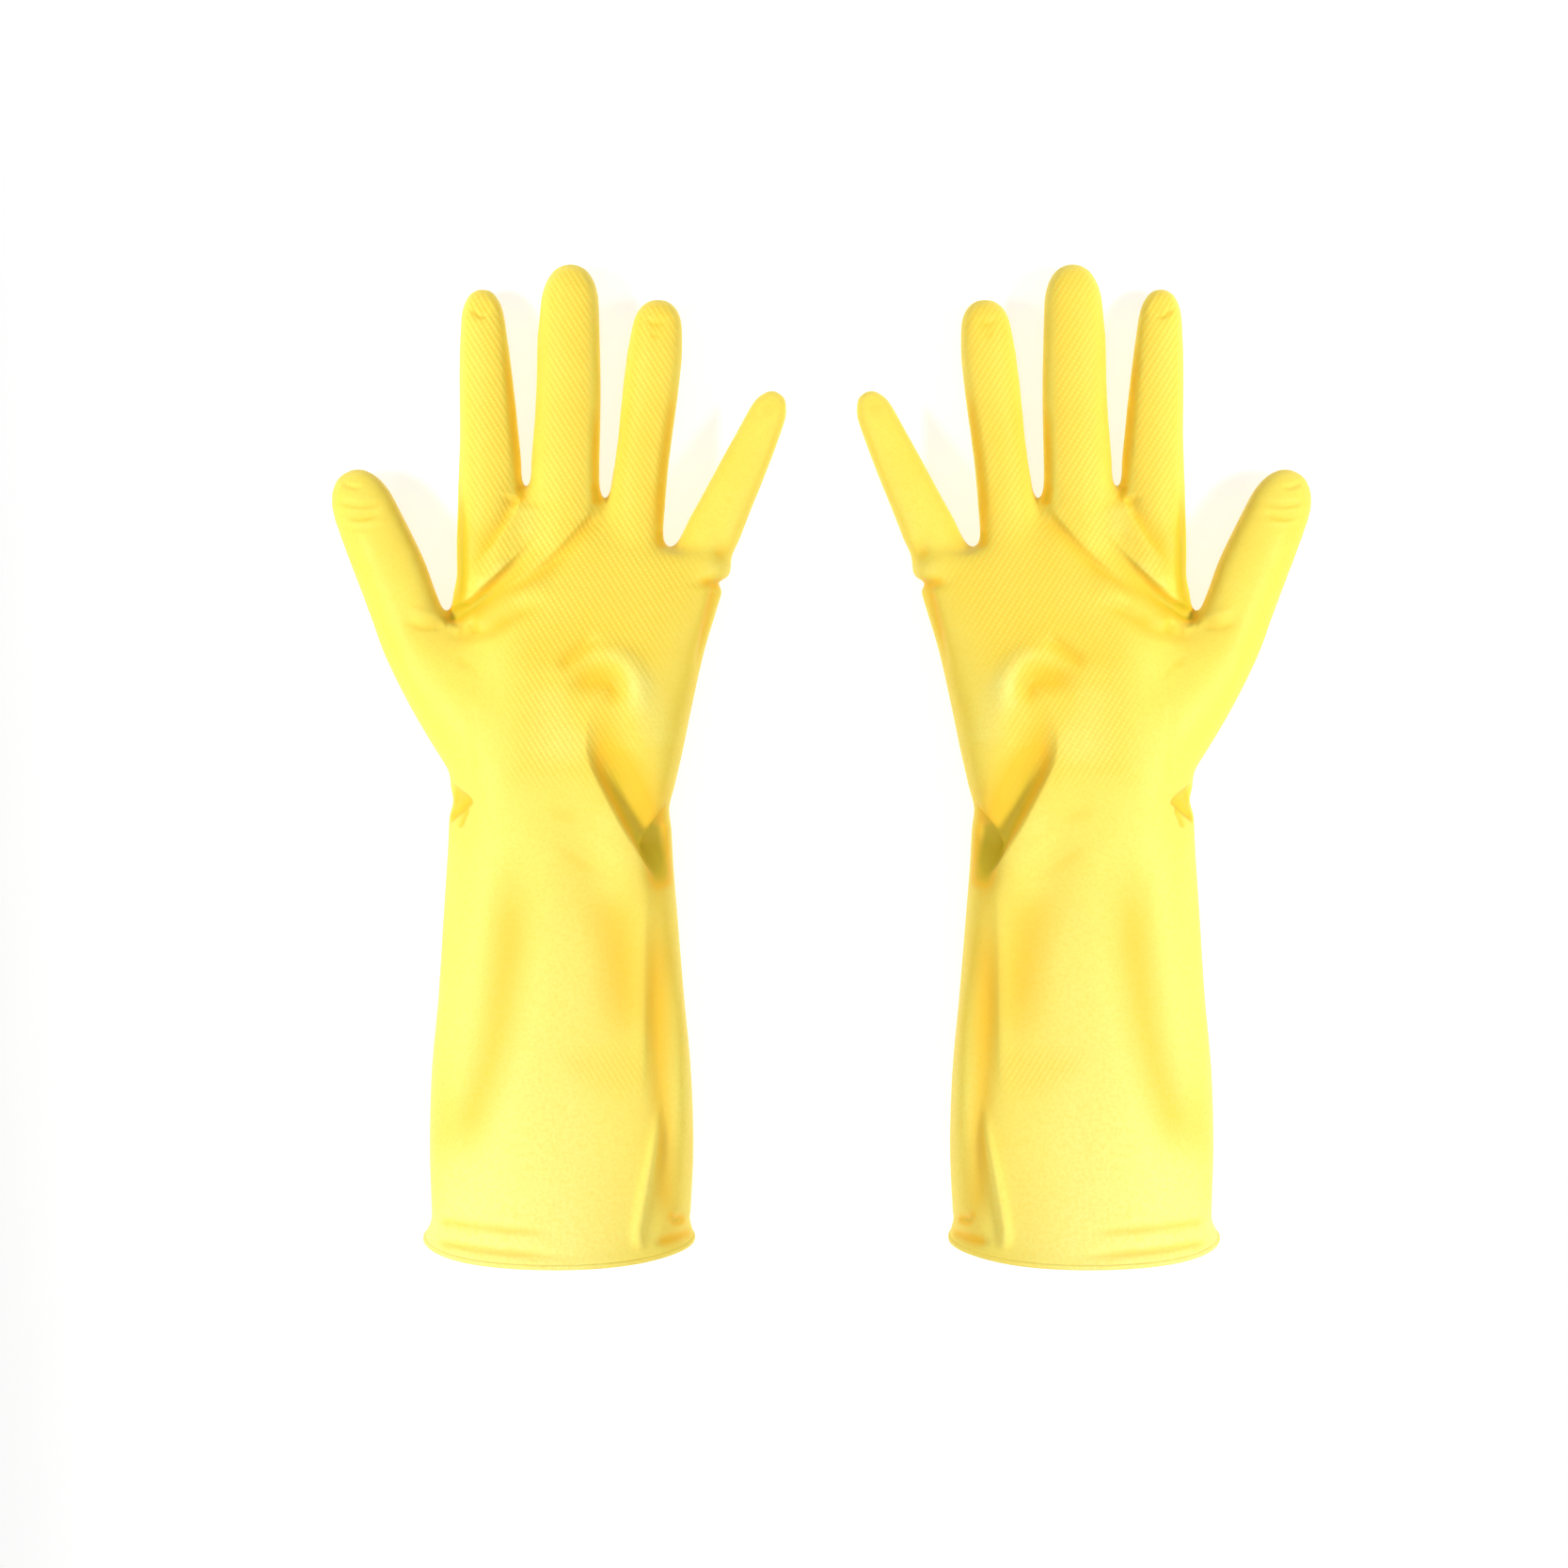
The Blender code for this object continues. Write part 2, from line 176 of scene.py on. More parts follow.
def body_form():
    """The hand and gauntlet as one closed form, from past the mouth to the web."""
    rings = []
    for y, inner, outer, bottom, top in smooth_rows(BODY_SECTIONS, BODY_ROWS):
        centre = np.array(((inner + outer) / 2, y, (bottom + top) / 2))
        inner_edge = (INNER_EDGE + MOUTH_ROUNDING) * smoothstep(-150.0, -95.0, y) - MOUTH_ROUNDING
        rings.append(section_points(centre, np.array((1.0, 0, 0)), UP, (outer - inner) / 2,
                                    (top - bottom) / 2, BODY_SIDES, BODY_SQUARENESS, inner_edge))
    web_y, slope, half_width = WEB
    centre = np.array((69.0, web_y, 15.0))
    for grow in (1.0, 0.6):
        rings.append(section_points(centre + (0, 2.0 * (1 - grow), 0), np.array((1.0, slope, 0)),
                                    UP, half_width * grow, 9.5 * grow, BODY_SIDES,
                                    BODY_SQUARENESS))
    return closed_form(rings)


def digit_form(name):
    """One digit as a closed form with a rounded tip, rooted inside the palm."""
    rows = smooth_rows(DIGIT_SECTIONS[name], DIGIT_ROWS)
    centres = rows[:, :3]
    headings = np.gradient(centres, axis=0)
    headings /= np.linalg.norm(headings, axis=1)[:, None]
    rings = []
    for centre, heading, (half_width, half_depth) in zip(centres, headings, rows[:, 3:]):
        across = np.cross(heading, UP)
        across /= np.linalg.norm(across)
        up = np.cross(across, heading)
        rings.append(section_points(centre, across, up, half_width, half_depth, DIGIT_SIDES,
                                    DIGIT_SQUARENESS))
    length = TIP_LENGTHS[name]
    for step in range(1, END_STEPS):
        turn = 0.5 * math.pi * step / END_STEPS
        shrink = math.cos(turn) ** 0.9
        place = centre + heading * (length * math.sin(turn))
        rings.append(section_points(place, across, up, half_width * shrink, half_depth * shrink,
                                    DIGIT_SIDES, DIGIT_SQUARENESS))
    return closed_form(rings)


def new_item(name, data):
    item = bpy.data.objects.new(name, data)
    bpy.context.scene.collection.objects.link(item)
    return item


def fused_skin():
    """All the forms of one glove, fused into a single even mesh: points and quads."""
    points, faces, offset = [], [], 0
    for form_points, form_faces in [body_form()] + [digit_form(name) for name in DIGITS]:
        points.append(form_points)
        faces += [tuple(corner + offset for corner in face) for face in form_faces]
        offset += len(form_points)
    mesh = bpy.data.meshes.new("forms")
    mesh.from_pydata(np.vstack(points).tolist(), [], faces)
    item = new_item("forms", mesh)
    remesh = item.modifiers.new("fuse", "REMESH")
    remesh.mode = "VOXEL"
    remesh.voxel_size = VOXEL
    evaluated = item.evaluated_get(bpy.context.evaluated_depsgraph_get())
    fused = bpy.data.meshes.new_from_object(evaluated)
    bpy.data.objects.remove(item, do_unlink=True)
    places = np.empty(len(fused.vertices) * 3)
    fused.vertices.foreach_get("co", places)
    corners = np.empty(len(fused.loops), np.int64)
    fused.loops.foreach_get("vertex_index", corners)
    return places.reshape(-1, 3), corners.reshape(-1, 4)


# ---- surface tools ----

def smoothstep(low, high, value):
    t = np.clip((value - low) / (high - low), 0.0, 1.0)
    return t * t * (3 - 2 * t)


def side_pairs(quads):
    """The two ends of each side of each quad, all first sides before all second ones."""
    return np.vstack([quads[:, (side, (side + 1) % 4)] for side in range(4)])


def directed_edges(quads):
    """The same pairs as keys of a dictionary, in order."""
    return dict.fromkeys(tuple(pair) for pair in side_pairs(quads).tolist())


def unique_edges(quads):
    return np.unique(np.sort(side_pairs(quads), axis=1), axis=0)


def spread(points, edges, passes, amount):
    """Points moved towards the mean of their neighbours, by an amount for each."""
    count = len(points)
    joined = np.bincount(edges.ravel(), minlength=count)[:, None]
    points = points.copy()
    for _ in range(passes):
        total = np.empty_like(points)
        for axis in range(points.shape[1]):
            column = points[:, axis]
            total[:, axis] = (np.bincount(edges[:, 0], column[edges[:, 1]], count)
                              + np.bincount(edges[:, 1], column[edges[:, 0]], count))
        points += amount * (total / joined - points)
    return points


def polygon_normals(points, polygons):
    """Unit point normals of a mesh given as arrays of equal polygons."""
    total = np.zeros_like(points)
    for group in polygons:
        normal = np.zeros((len(group), 3))
        for side in range(group.shape[1]):
            normal += np.cross(points[group[:, side]], points[group[:, (side + 1) % group.shape[1]]])
        for axis in range(3):
            for side in range(group.shape[1]):
                total[:, axis] += np.bincount(group[:, side], normal[:, axis], len(points))
    return total / np.maximum(np.linalg.norm(total, axis=1), 1e-12)[:, None]


# ---- relief: the folds, dents and grip of the skin ----

def path_distance(spots, path):
    """Signed distance from spots to a path, positive on its right, and the place along it, 0 to 1."""
    path = np.array(path, float)
    signed = np.full(len(spots), 1e9)
    place = np.zeros(len(spots))
    runs = np.linalg.norm(np.diff(path, axis=0), axis=1)
    reached = np.concatenate(((0.0,), np.cumsum(runs)))
    for start, end, run, before in zip(path[:-1], path[1:], runs, reached):
        heading = (end - start) / run
        offset = spots - start
        along = np.clip(offset @ heading, 0.0, run)
        away = offset - along[:, None] * heading
        distance = np.linalg.norm(away, axis=1)
        side = np.where(heading[1] * offset[:, 0] - heading[0] * offset[:, 1] >= 0, 1.0, -1.0)
        nearer = distance < np.abs(signed)
        signed = np.where(nearer, side * distance, signed)
        place = np.where(nearer, (before + along) / reached[-1], place)
    return signed, place


def tapered(place, start, end):
    """1 along a path, falling to 0 over the first and last parts."""
    rise = smoothstep(0.0, max(start, 1e-3), place)
    fall = smoothstep(0.0, max(end, 1e-3), 1.0 - place)
    return (rise if start > 0 else 1.0) * (fall if end > 0 else 1.0)


def bell(distance, width):
    return np.exp(-(distance / width) ** 2)


# Soft valleys and ridges: path, height in millimetres (below 0 is a valley), half width, tapers
SOFT_FOLDS = (
    # index finger's root: the filled hollow, and the ridge between its two creases
    (((93.6, 84), (93.8, 77), (94.8, 69)), 1, 4.6, 0.25, 0.4),
    (((99, 66.5), (103.5, 62), (108, 58.5), (112, 54.5)), 0.9, 3.2, 0.3, 0.3),
    # the broad valley, from the middle finger's root to the thumb
    (((71, 82), (74.5, 76.3), (79, 71.2), (83.5, 65.8), (91, 60.1), (100, 54.2), (109, 49.6), (116.5,
     45.8)), -0.7, 4.6, 0.12, 0.2),
    (((85, 58.5), (92, 55), (99, 51)), 0.9, 2.8, 0.4, 0.4),
    (((86, 52.3), (94, 50), (100, 46.8), (107, 43), (121, 40.6)), -1.4, 3, 0.3, 0.25),
    # puckers between thumb and index
    (((119.6, 44.6), (114.5, 42.6)), 0.7, 1.6, 0.3, 0.3),
    (((112.6, 46.2), (110.4, 41.4)), -0.7, 1.2, 0.3, 0.4),
    (((134, 46), (127, 43.8), (120, 44.4)), -0.7, 1.5, 0.4, 0.2),
    (((133, 50.2), (126, 47.8), (120, 47)), 0.6, 1.7, 0.4, 0.2),
    # small creases at the digits' ends
    (((154, 90.6), (150, 88.6), (146, 88.8)), -0.6, 1, 0.3, 0.4),
    (((154, 83.6), (148, 82.4), (142.4, 83), (138.5, 86)), -0.7, 1.1, 0.2, 0.4),
    (((152, 78.6), (146, 78.4), (141, 80.6)), -0.6, 1, 0.3, 0.4),
    (((112.4, 146), (109.4, 143.4), (106.4, 143.8)), -0.6, 0.9, 0.2, 0.3),
    (((57, 142.6), (52.8, 141), (49, 142)), -0.6, 1, 0.3, 0.3),
    (((55, 137.4), (51.6, 136.8)), -0.5, 0.9, 0.3, 0.3),
    # the heel of the hand
    (((84.5, 30.2), (77, 36.5), (70, 41.5)), -1.2, 2.6, 0.3, 0.3),
    (((77, 33.4), (70, 35.4), (64, 33.6), (59.8, 28), (58.2, 20.2), (59.5, 11)), 1.9, 4.2, 0.35, 0.4),
    (((82, 23.6), (74, 27), (67.4, 27), (65.2, 23.6), (68, 18)), -1.9, 3.8, 0.35, 0.3),
    # the fingers' inner edges, and the index finger's outer one
    (((101.6, 135), (99.3, 120.7), (97.7, 103), (96.6, 94), (95.8, 86)), -0.7, 1.5, 0.3, 0.1),
    (((71.6, 116), (71.6, 108), (71.9, 98.5), (71.8, 86)), -0.7, 1.5, 0.4, 0.1),
    (((46.2, 124), (47, 118), (49.3, 103), (50.6, 94), (51.1, 84), (51, 74)), -0.7, 1.5, 0.3, 0.1),
    (((116.6, 88), (117.6, 72), (118.4, 58), (118.6, 51)), -1.7, 1.9, 0.35, 0.2),
    # the little finger's root, down the inner edge
    (((32.6, 58.6), (35, 50), (37.5, 38), (39.5, 28)), -1.2, 1.8, 0.1, 0.3),
    # the wrist's outer side
    (((111.2, -10.8), (114.5, -13.5), (119.5, -17.6)), -1.7, 1.3, 0.15, 0),
    (((112.5, -13.6), (114.2, -17), (115.6, -21)), -1, 1.1, 0.2, 0.3),
    # gauntlet
    (((86, -8), (76, -26), (68, -42), (63, -62), (60, -84), (59, -100)), -1.6, 9, 0.4, 0.35),
    (((98, -14), (98.5, -50), (103, -80.2), (107.5, -98.2), (114, -116.2), (120, -134.2)), -1.5, 8.5,
     0.3, 0.2),
    (((51, -44), (51.4, -86.2), (50, -120), (49, -146)), -1, 3.4, 0.3, 0.1),
    (((45.5, -60), (44.5, -100), (44.6, -130)), 0.8, 2.6, 0.3, 0.3),
    # hem
    (((123.5, -145), (100, -147.2), (78, -148.6)), -0.8, 1.5, 0.1, 0.5),
    (((122, -142), (100, -144.2), (84, -145.4)), 0.35, 1.8, 0.2, 0.5),
    (((124, -151.4), (106, -153.6), (91, -155.2), (74, -156.3)), -0.9, 1.3, 0.1, 0.4),
    (((54, -152), (47, -150.6), (41, -148.6)), -1.2, 1.3, 0.3, 0),
    # thumb's mound
    (((111.5, 22), (111, 2), (110.5, -14)), -0.35, 1.6, 0.4, 0.4),
)

# Painted shade along creases, side faces and between the fingers, and painted light where the amount is
# below 0, without any relief: path, amount as if of depth, half width, tapers
PAINTED_SHADE_AND_LIGHT = (
    (((51.6, -40), (51, -70), (50.4, -100), (49.4, -125), (47.5, -150)), 1, 5, 0.2, 0),
    (((70, -44), (64, -62), (61, -80), (60, -100)), 0.3, 8, 0.4, 0.4),
    (((120.5, -6), (121.5, -50), (122.5, -100), (123.5, -140)), 0.9, 4.5, 0.1, 0),
    # the heel and middle of the palm, made paler with painted light
    (((88, 36), (85, 14), (80, -8)), -2.6, 12, 0.35, 0.35),
    (((60, 33), (55, 16), (53, 0)), -1, 7, 0.3, 0.3),
    (((76, -12), (68, -34), (64, -50)), -1.6, 8, 0.3, 0.4),
    (((52, -151.6), (41, -149)), 1.2, 1.6, 0.2, 0),
    (((48.6, -141.6), (46.2, -145.4), (42.6, -144.6)), 2.6, 0.9, 0.3, 0.1),
    (((53.6, -112), (57.4, -130), (59.2, -146), (59.8, -151)), 0.9, 1.1, 0.3, 0.2),
    (((123, -145.2), (100, -147.6), (80, -149)), 1, 1.4, 0.1, 0.4),
    (((123.5, -152), (104, -154.2), (84, -155.8)), 1, 1.3, 0.1, 0.4),
    (((60, 60), (64, 46), (74, 36)), 0.3, 12, 0.3, 0.3),
    # the fingers' inner edges
    (((102.6, 140), (100.8, 132), (98.8, 120.7), (97.2, 103), (96.2, 94), (95.2, 85)), 1.5, 1.7, 0.3,
     0),
    (((71.4, 134), (71, 122), (71.2, 108)), 0.6, 1.2, 0.3, 0),
    (((71.2, 114), (71.5, 98.5), (71.4, 84)), 1.5, 1.8, 0.4, 0),
    (((91, 142), (91.5, 122), (92, 100)), 0.5, 3.5, 0.3, 0.3),
    (((53, 92), (53.2, 80), (52.5, 71)), 1.1, 2.4, 0.4, 0),
    (((154.5, 90), (153, 80)), 0.6, 4, 0.3, 0.3),
    (((55, 124), (57, 100), (60, 76)), 0.5, 5, 0.4, 0.4),
    (((45.6, 126), (46.4, 118), (48.7, 103), (50, 94), (50.6, 84), (50.6, 72)), 1.7, 2, 0.3, 0),
    # between the fingers
    (((96.8, 89), (95.8, 84.4)), 2.4, 1.3, 0.2, 0.2),
    (((95.8, 84.4), (98.9, 81.8)), 1.4, 0.8, 0, 0.4),
    (((72.2, 90), (71.6, 82)), 2.8, 1.4, 0.4, 0.3),
    (((50.9, 75), (50, 68)), 2.4, 1.7, 0.2, 0.3),
    # from between thumb and index
    (((118, 48.6), (112.4, 50.8), (107.4, 54.2), (102, 59.2)), 5, 1.2, 0, 0.6),
    (((113, 47.4), (104, 45.8), (98, 47.5)), 0.8, 2.4, 0.2, 0.4),
    (((111.5, 82), (110, 66), (110, 56)), 1.5, 4, 0.4, 0.2),
    (((110, 64), (104.6, 71.6), (98.6, 80.8)), 0.8, 1.6, 0.4, 0.1),
    (((73, 79), (80, 70.4), (88, 62.6), (98, 55.6), (108, 51)), 0.4, 2, 0.1, 0.3),
    (((118, 86), (118.6, 70), (119.2, 54)), 1, 2.2, 0.3, 0),
    (((115.2, 92), (114.9, 70), (114.6, 61), (114.8, 55), (116, 49.6)), 5.6, 1.7, 0.6, 0),
    # little finger's root
    (((41, 59.6), (36, 58.2), (29, 57.6)), 1.8, 1.3, 0.4, 0),
    (((33.4, 68.5), (31.6, 64)), 0.9, 1.6, 0.2, 0.2),
    (((34.2, 56), (36.6, 47), (39, 36)), 1.4, 1.8, 0.1, 0.4),
    # the wrist's two sides
    (((111, -10.6), (114.5, -13.6), (120, -18.2)), 2.8, 1.1, 0.15, 0),
    (((112.5, -13.6), (114.2, -17), (115.6, -21)), 1.4, 1, 0.2, 0.3),
    (((112, -10), (120, -12)), 1, 2.8, 0.2, 0),
    (((52, -19), (49.5, -29), (47.6, -41)), 3.4, 4.4, 0.1, 0.3),
    # small creases over the thumb's mound and across the wrist
    (((118, 34.6), (112.4, 31.4), (107, 24)), 0.8, 1.5, 0.3, 0.4),
    (((110.6, 22), (109.6, 6), (110.6, -8)), 0.65, 1.7, 0.3, 0.3),
    (((92, -12), (76, -19), (62, -27)), 0.7, 1.8, 0.4, 0.3),
    (((88, -24), (74, -33), (60, -39)), 0.75, 2.2, 0.4, 0.3),
    # the gauntlet's outer half
    (((98, -28), (99, -58), (103, -84), (108, -102), (117, -128)), 0.7, 7, 0.3, 0.2),
)

# Sharp folds: path, drop on its right, width of the steep wall, width of the slow rise beyond it,
# height of the lip on its left, tapers
SHARP_FOLDS = (
    # from between thumb and index into the palm
    (((88.4, 75.4), (95.2, 68), (100.6, 62.5), (106.6, 57), (111.7, 53), (116, 50.2), (122, 47.6)),
     2.9, 1.3, 4.6, 0.3, 0.5, 0.1),
    # index finger's root, falling on its side
    (((112.5, 60.5), (108.4, 66.2), (104.2, 71), (100.9, 76), (98, 80.6), (96.4, 85.5)), 1.7, 1.5, 4.2,
     0.1, 0.5, 0.06),
    # the line of the broad valley
    (((71.4, 81.6), (74.6, 77.8), (79.6, 72.6), (84.6, 67.6), (91.2, 62.2), (97.4, 58.6), (104, 55.4)),
     1.4, 1.6, 3.6, 0.4, 0.1, 0.5),
    # the main fold at the heel of the hand
    (((66, 24), (69, 18.6), (71.6, 12.5), (72.4, 4.5), (70.6, -2.2), (67, -9.8), (62.5, -18.8), (58,
     -26.2), (54.8, -31), (51, -36)), 7, 4.4, 11, 0.5, 0.55, 0.15),
    # the heel's lower edge, over the gauntlet's inner side
    (((47, -11), (49.6, -16.2), (52.9, -22), (55, -27)), 3.2, 1.4, 9, 0.6, 0.1, 0.3),
    # the flap at the outer side of the wrist
    (((111.2, -11.2), (115, -8.2), (121.5, -3.4)), 1.8, 1.3, 5, 0.5, 0.2, 0),
    # the gauntlet's inner edge
    (((53, -34), (54.8, -52), (55.2, -75), (55.8, -95), (57.4, -112)), 0.4, 1.8, 6, 0.4, 0.25, 0.3),
    # sharp ridge above the hem
    (((49.6, -104), (51.4, -116), (53, -124.4), (54.8, -132.8), (56.6, -143.2), (57.4, -149.6), (55.4,
     -154.6)), 0.4, 1.1, 4.5, 1.4, 0.35, 0.1),
)

# Round dents and bumps: centre, reach along x, y and z, height along the surface's normal
DENTS = (
    ((119.5, -11.5, 26), (6, 3.4, 12), -1.6),
    ((45, -14, 22), (7, 4.5, 20), -1),
    ((50, -30, 42), (5, 10.5, 11), -4.6),
    ((34.5, 62, 18), (5, 3.4, 12), 1.9),
    ((33.6, 57.6, 18), (6, 1.7, 14), -2.4),
    ((31.5, 68.5, 17), (3.4, 3.4, 10), -1.6),
    ((44.8, -144.6, 40), (3, 1.6, 16), -1.6),
    ((88, 20, 42), (26, 24, 20), -1.8),
    ((104, 14, 42), (11, 24, 20), 1.4),
    ((56, 16, 44), (9, 22, 14), 0.9),
    ((108.7, 145.2, 16), (3.6, 3.2, 6), -0.9),
    ((52.8, 139.5, 17), (3.4, 3, 6), -0.8),
    ((17, 114.2, 14), (3.4, 3, 6), -0.9),
    ((147.8, 79.4, 21), (8, 1.6, 8), -0.7),
    ((149.2, 75.4, 21), (8, 1.6, 8), -0.5),
    ((113.4, 31.6, 40), (2, 2, 12), -0.4),
)


# Sharp folds: how far they reach past their ends, how much wider the wall is at the start, how much
# of the wall lies before the path, its steepness and how round the ridge is, in wall widths
END_REACH = 1.2
WALL_WIDENING = 1.7
RIDGE_OVERLAP = 0.35
WALL_STEEPNESS = 2.6
RIDGE_ROUNDING = 0.25


def fold_relief(points, normals):
    """How far the folds and dents move each point along its normal."""
    facing = smoothstep(0.02, 0.42, normals[:, 2])
    height = np.zeros(len(points))
    near = facing > 0
    spots = points[near, :2]
    for path, rise, width, start, end in SOFT_FOLDS:
        signed, place = path_distance(spots, smooth_rows(path, 24))
        height[near] += rise * bell(signed, width) * tapered(place, start, end)
    for path, drop, wall, reach, lip, start, end in SHARP_FOLDS:
        signed, place = path_distance(spots, smooth_rows(path, 36))
        strength = tapered(place, start, end)
        past = (place < 1e-4) | (place > 0.9999)
        strength = np.where(past, strength * bell(signed, END_REACH), strength)
        steep = wall * (1.0 + WALL_WIDENING * (1.0 - place) ** 2)
        past_ridge = np.maximum(signed / steep + RIDGE_OVERLAP, 0.0)
        settled = 1.0 - np.exp(-WALL_STEEPNESS * past_ridge ** 2 / (RIDGE_ROUNDING + past_ridge))
        valley = settled * bell(np.maximum(signed, 0), reach)
        edge = bell(signed + wall, 1.6 * wall)
        height[near] += strength * (lip * edge - drop * valley)
    height *= facing
    for centre, reach, rise in DENTS:
        height += rise * np.exp(-(((points - centre) / reach) ** 2).sum(axis=1))
    return height


def painted_light_and_shade(points, normals):
    """Painted shade (above 0) and painted light (below 0), as if of a fold, where no relief is made."""
    spots = points[:, :2]
    tone = np.zeros(len(points))
    for path, amount, width, start, end in PAINTED_SHADE_AND_LIGHT:
        signed, place = path_distance(spots, path)
        tone += amount * bell(signed, width) * tapered(place, start, end)
    return tone * smoothstep(-0.1, 0.35, normals[:, 2])


GRIP_PALM = ((100, 74), (98.5, 40), (97.5, -4), (62, -6), (54, 30), (40, 58),
             (46, 70), (70, 82), (96, 86))
# The faint second patch on the gauntlet, and how strong it is beside the first
GRIP_CUFF = ((82, -92), (72, -90), (58, -91), (56, -99), (60, -104),
             (70, -104.5), (80, -98))
GRIP_CUFF_SHARE = 0.6
GRIP_HEIGHT = 0.17


def inside_outline(spots, outline, soft):
    """1 inside a closed outline of (x, y) points, falling to 0 over soft millimetres outside."""
    outline = np.array(outline, float)
    signed, _ = path_distance(spots, np.vstack((outline, outline[:1])))
    x, y = spots[:, 0], spots[:, 1]
    inside = np.zeros(len(spots), bool)
    for (x1, y1), (x2, y2) in zip(outline, np.roll(outline, -1, axis=0)):
        crosses = (y1 > y) != (y2 > y)
        inside ^= crosses & (x < (x2 - x1) * (y - y1) / (y2 - y1 + 1e-9) + x1)
    distance = np.where(inside, -np.abs(signed), np.abs(signed))
    return 1.0 - smoothstep(-soft, soft, distance)


def grip_mask(points, normals):
    spots = points[:, :2]
    mask = inside_outline(spots, GRIP_PALM, 8.0)
    mask = np.maximum(mask, GRIP_CUFF_SHARE * inside_outline(spots, GRIP_CUFF, 5.0))
    for name in ("index", "middle", "ring"):
        rows = np.array(DIGIT_SECTIONS[name])
        path = [tuple(row[:2]) for row in rows if row[1] > 60]
        tip = np.array(path[-1]) + (0.0, TIP_LENGTHS[name] * 0.4)
        path.append(tuple(tip))
        signed, _ = path_distance(spots, path)
        mask = np.maximum(mask, 1.0 - smoothstep(5.0, 8.5, np.abs(signed)))
    return mask * smoothstep(0.35, 0.75, normals[:, 2])


# The two families of ribs: direction in degrees and pitch
RIBS = ((58.0, 1.62), (-30.0, 1.34))


def grip_ribs(points):
    """Crossed fine ribs, -0.35 to 0.65: a steep family and a shallower one."""
    waves = []
    for degrees, pitch in RIBS:
        turn = math.radians(degrees)
        across = points[:, 0] * math.sin(turn) - points[:, 1] * math.cos(turn)
        waves.append(0.5 + 0.5 * np.cos(2 * math.pi * across / pitch))
    return waves[0] * (0.4 + 0.6 * waves[1]) - 0.35


# ---- one glove's skin ----

# Passes of smoothing: all over, in the hollows between the digits, over the thumb's mound
EVEN_PASSES = 14
HOLLOW_PASSES = 40
MOUND_PASSES = 150
# The hollows between the digits that are rounded: place and reach
HOLLOWS = (((94.9, 84.6), 8.0), ((70.8, 79.0), 8.0), ((49.5, 66.8), 10.0), ((118.0, 46.0), 4.0))
# The thumb's mound, which is smoothed into the palm
THUMB_MOUND = ((108.0, -16.0), (113.0, 8.0), (119.0, 34.0))
# The back lies on the floor: it is flattened below a level, over a reach, to a share of its slope
BACK_LEVEL = 1.2
BACK_REACH = 1.4
BACK_SLOPE = 0.25
# The mouth: x and height of its middle, y of the rim there, how far the palm side leans past the
# back and over what length
MOUTH_X = 83.0
MOUTH_Z = 27.0
MOUTH_Y = -150.9
MOUTH_LEAN = 0.30
LEAN_REACH = 60.0
# How the rim flares: height, length, extra at its two corners, share at its inner side
FLARE = 1.25
FLARE_REACH = 3.6
FLARE_CORNER = 0.8
FLARE_INNER = 0.5


def glove_skin():
    """Smooth points, quads, edges and rim distance of one glove, cut open at the mouth."""
    points, quads = fused_skin()
    edges = unique_edges(quads)
    points = spread(points, edges, EVEN_PASSES, 0.5)
    hollow = np.zeros(len(points))
    for place, reach in HOLLOWS:
        away = np.linalg.norm(points[:, :2] - place, axis=1)
        hollow = np.maximum(hollow, 1 - smoothstep(0.5 * reach, 1.6 * reach, away))
    points = spread(points, edges, HOLLOW_PASSES, 0.5 * hollow[:, None])
    normals = polygon_normals(points, [quads])
    mound, _ = path_distance(points[:, :2], THUMB_MOUND)
    soft = (1 - smoothstep(6.0, 15.0, np.abs(mound))) * smoothstep(0.2, 0.7, normals[:, 2])
    points = spread(points, edges, MOUND_PASSES, 0.5 * soft[:, None])
    below = np.maximum(points[:, 2] - BACK_LEVEL, -BACK_REACH)
    points[:, 2] = np.where(below < 0, BACK_LEVEL + BACK_SLOPE * below, points[:, 2])
    keep = (points[quads][:, :, 1] >= MOUTH_Y - 0.5 * VOXEL).all(axis=1)
    quads = quads[keep]
    used = np.unique(quads)
    number = np.full(len(points), -1)
    number[used] = np.arange(len(used))
    points, quads = points[used], number[quads]
    edges = unique_edges(quads)
    rim = open_points(quads)
    gap = MOUTH_Y - points[rim][:, 1].mean()
    points[:, 1] += gap * (1 - smoothstep(0.0, 12.0, points[:, 1] - MOUTH_Y))
    points[rim, 1] = MOUTH_Y
    depth = points[:, 1] - MOUTH_Y
    centre = np.array((MOUTH_X, MOUTH_Z))
    outward = points[:, (0, 2)] - centre
    outward /= np.linalg.norm(outward, axis=1)[:, None]
    corner = 1.0 + FLARE_CORNER * bell(points[:, 2] - MOUTH_Z, 9.0)
    flare = FLARE * corner * bell(depth, FLARE_REACH) * smoothstep(-12.0, 12.0, points[:, 2])
    flare *= FLARE_INNER + (1.0 - FLARE_INNER) * smoothstep(46.0, 66.0, points[:, 0])
    points[:, 0] += flare * outward[:, 0]
    points[:, 2] += flare * np.maximum(outward[:, 1], -0.2)
    amount = MOUTH_LEAN * smoothstep(0.0, LEAN_REACH, MOUTH_Y + LEAN_REACH - points[:, 1])
    points[:, 1] -= amount * (points[:, 2] - MOUTH_Z)
    return points, quads, edges, rim


def open_points(quads):
    """The points on the open rim, in order round it."""
    pairs = directed_edges(quads)
    onward = {b: a for a, b in pairs if (b, a) not in pairs}
    start = next(iter(onward))
    loop = [start]
    while onward[loop[-1]] != start:
        loop.append(onward[loop[-1]])
    return np.array(loop)


# ---- zones ----

JOINTS = {joint["name"]: joint for joint in frame["joints"]}
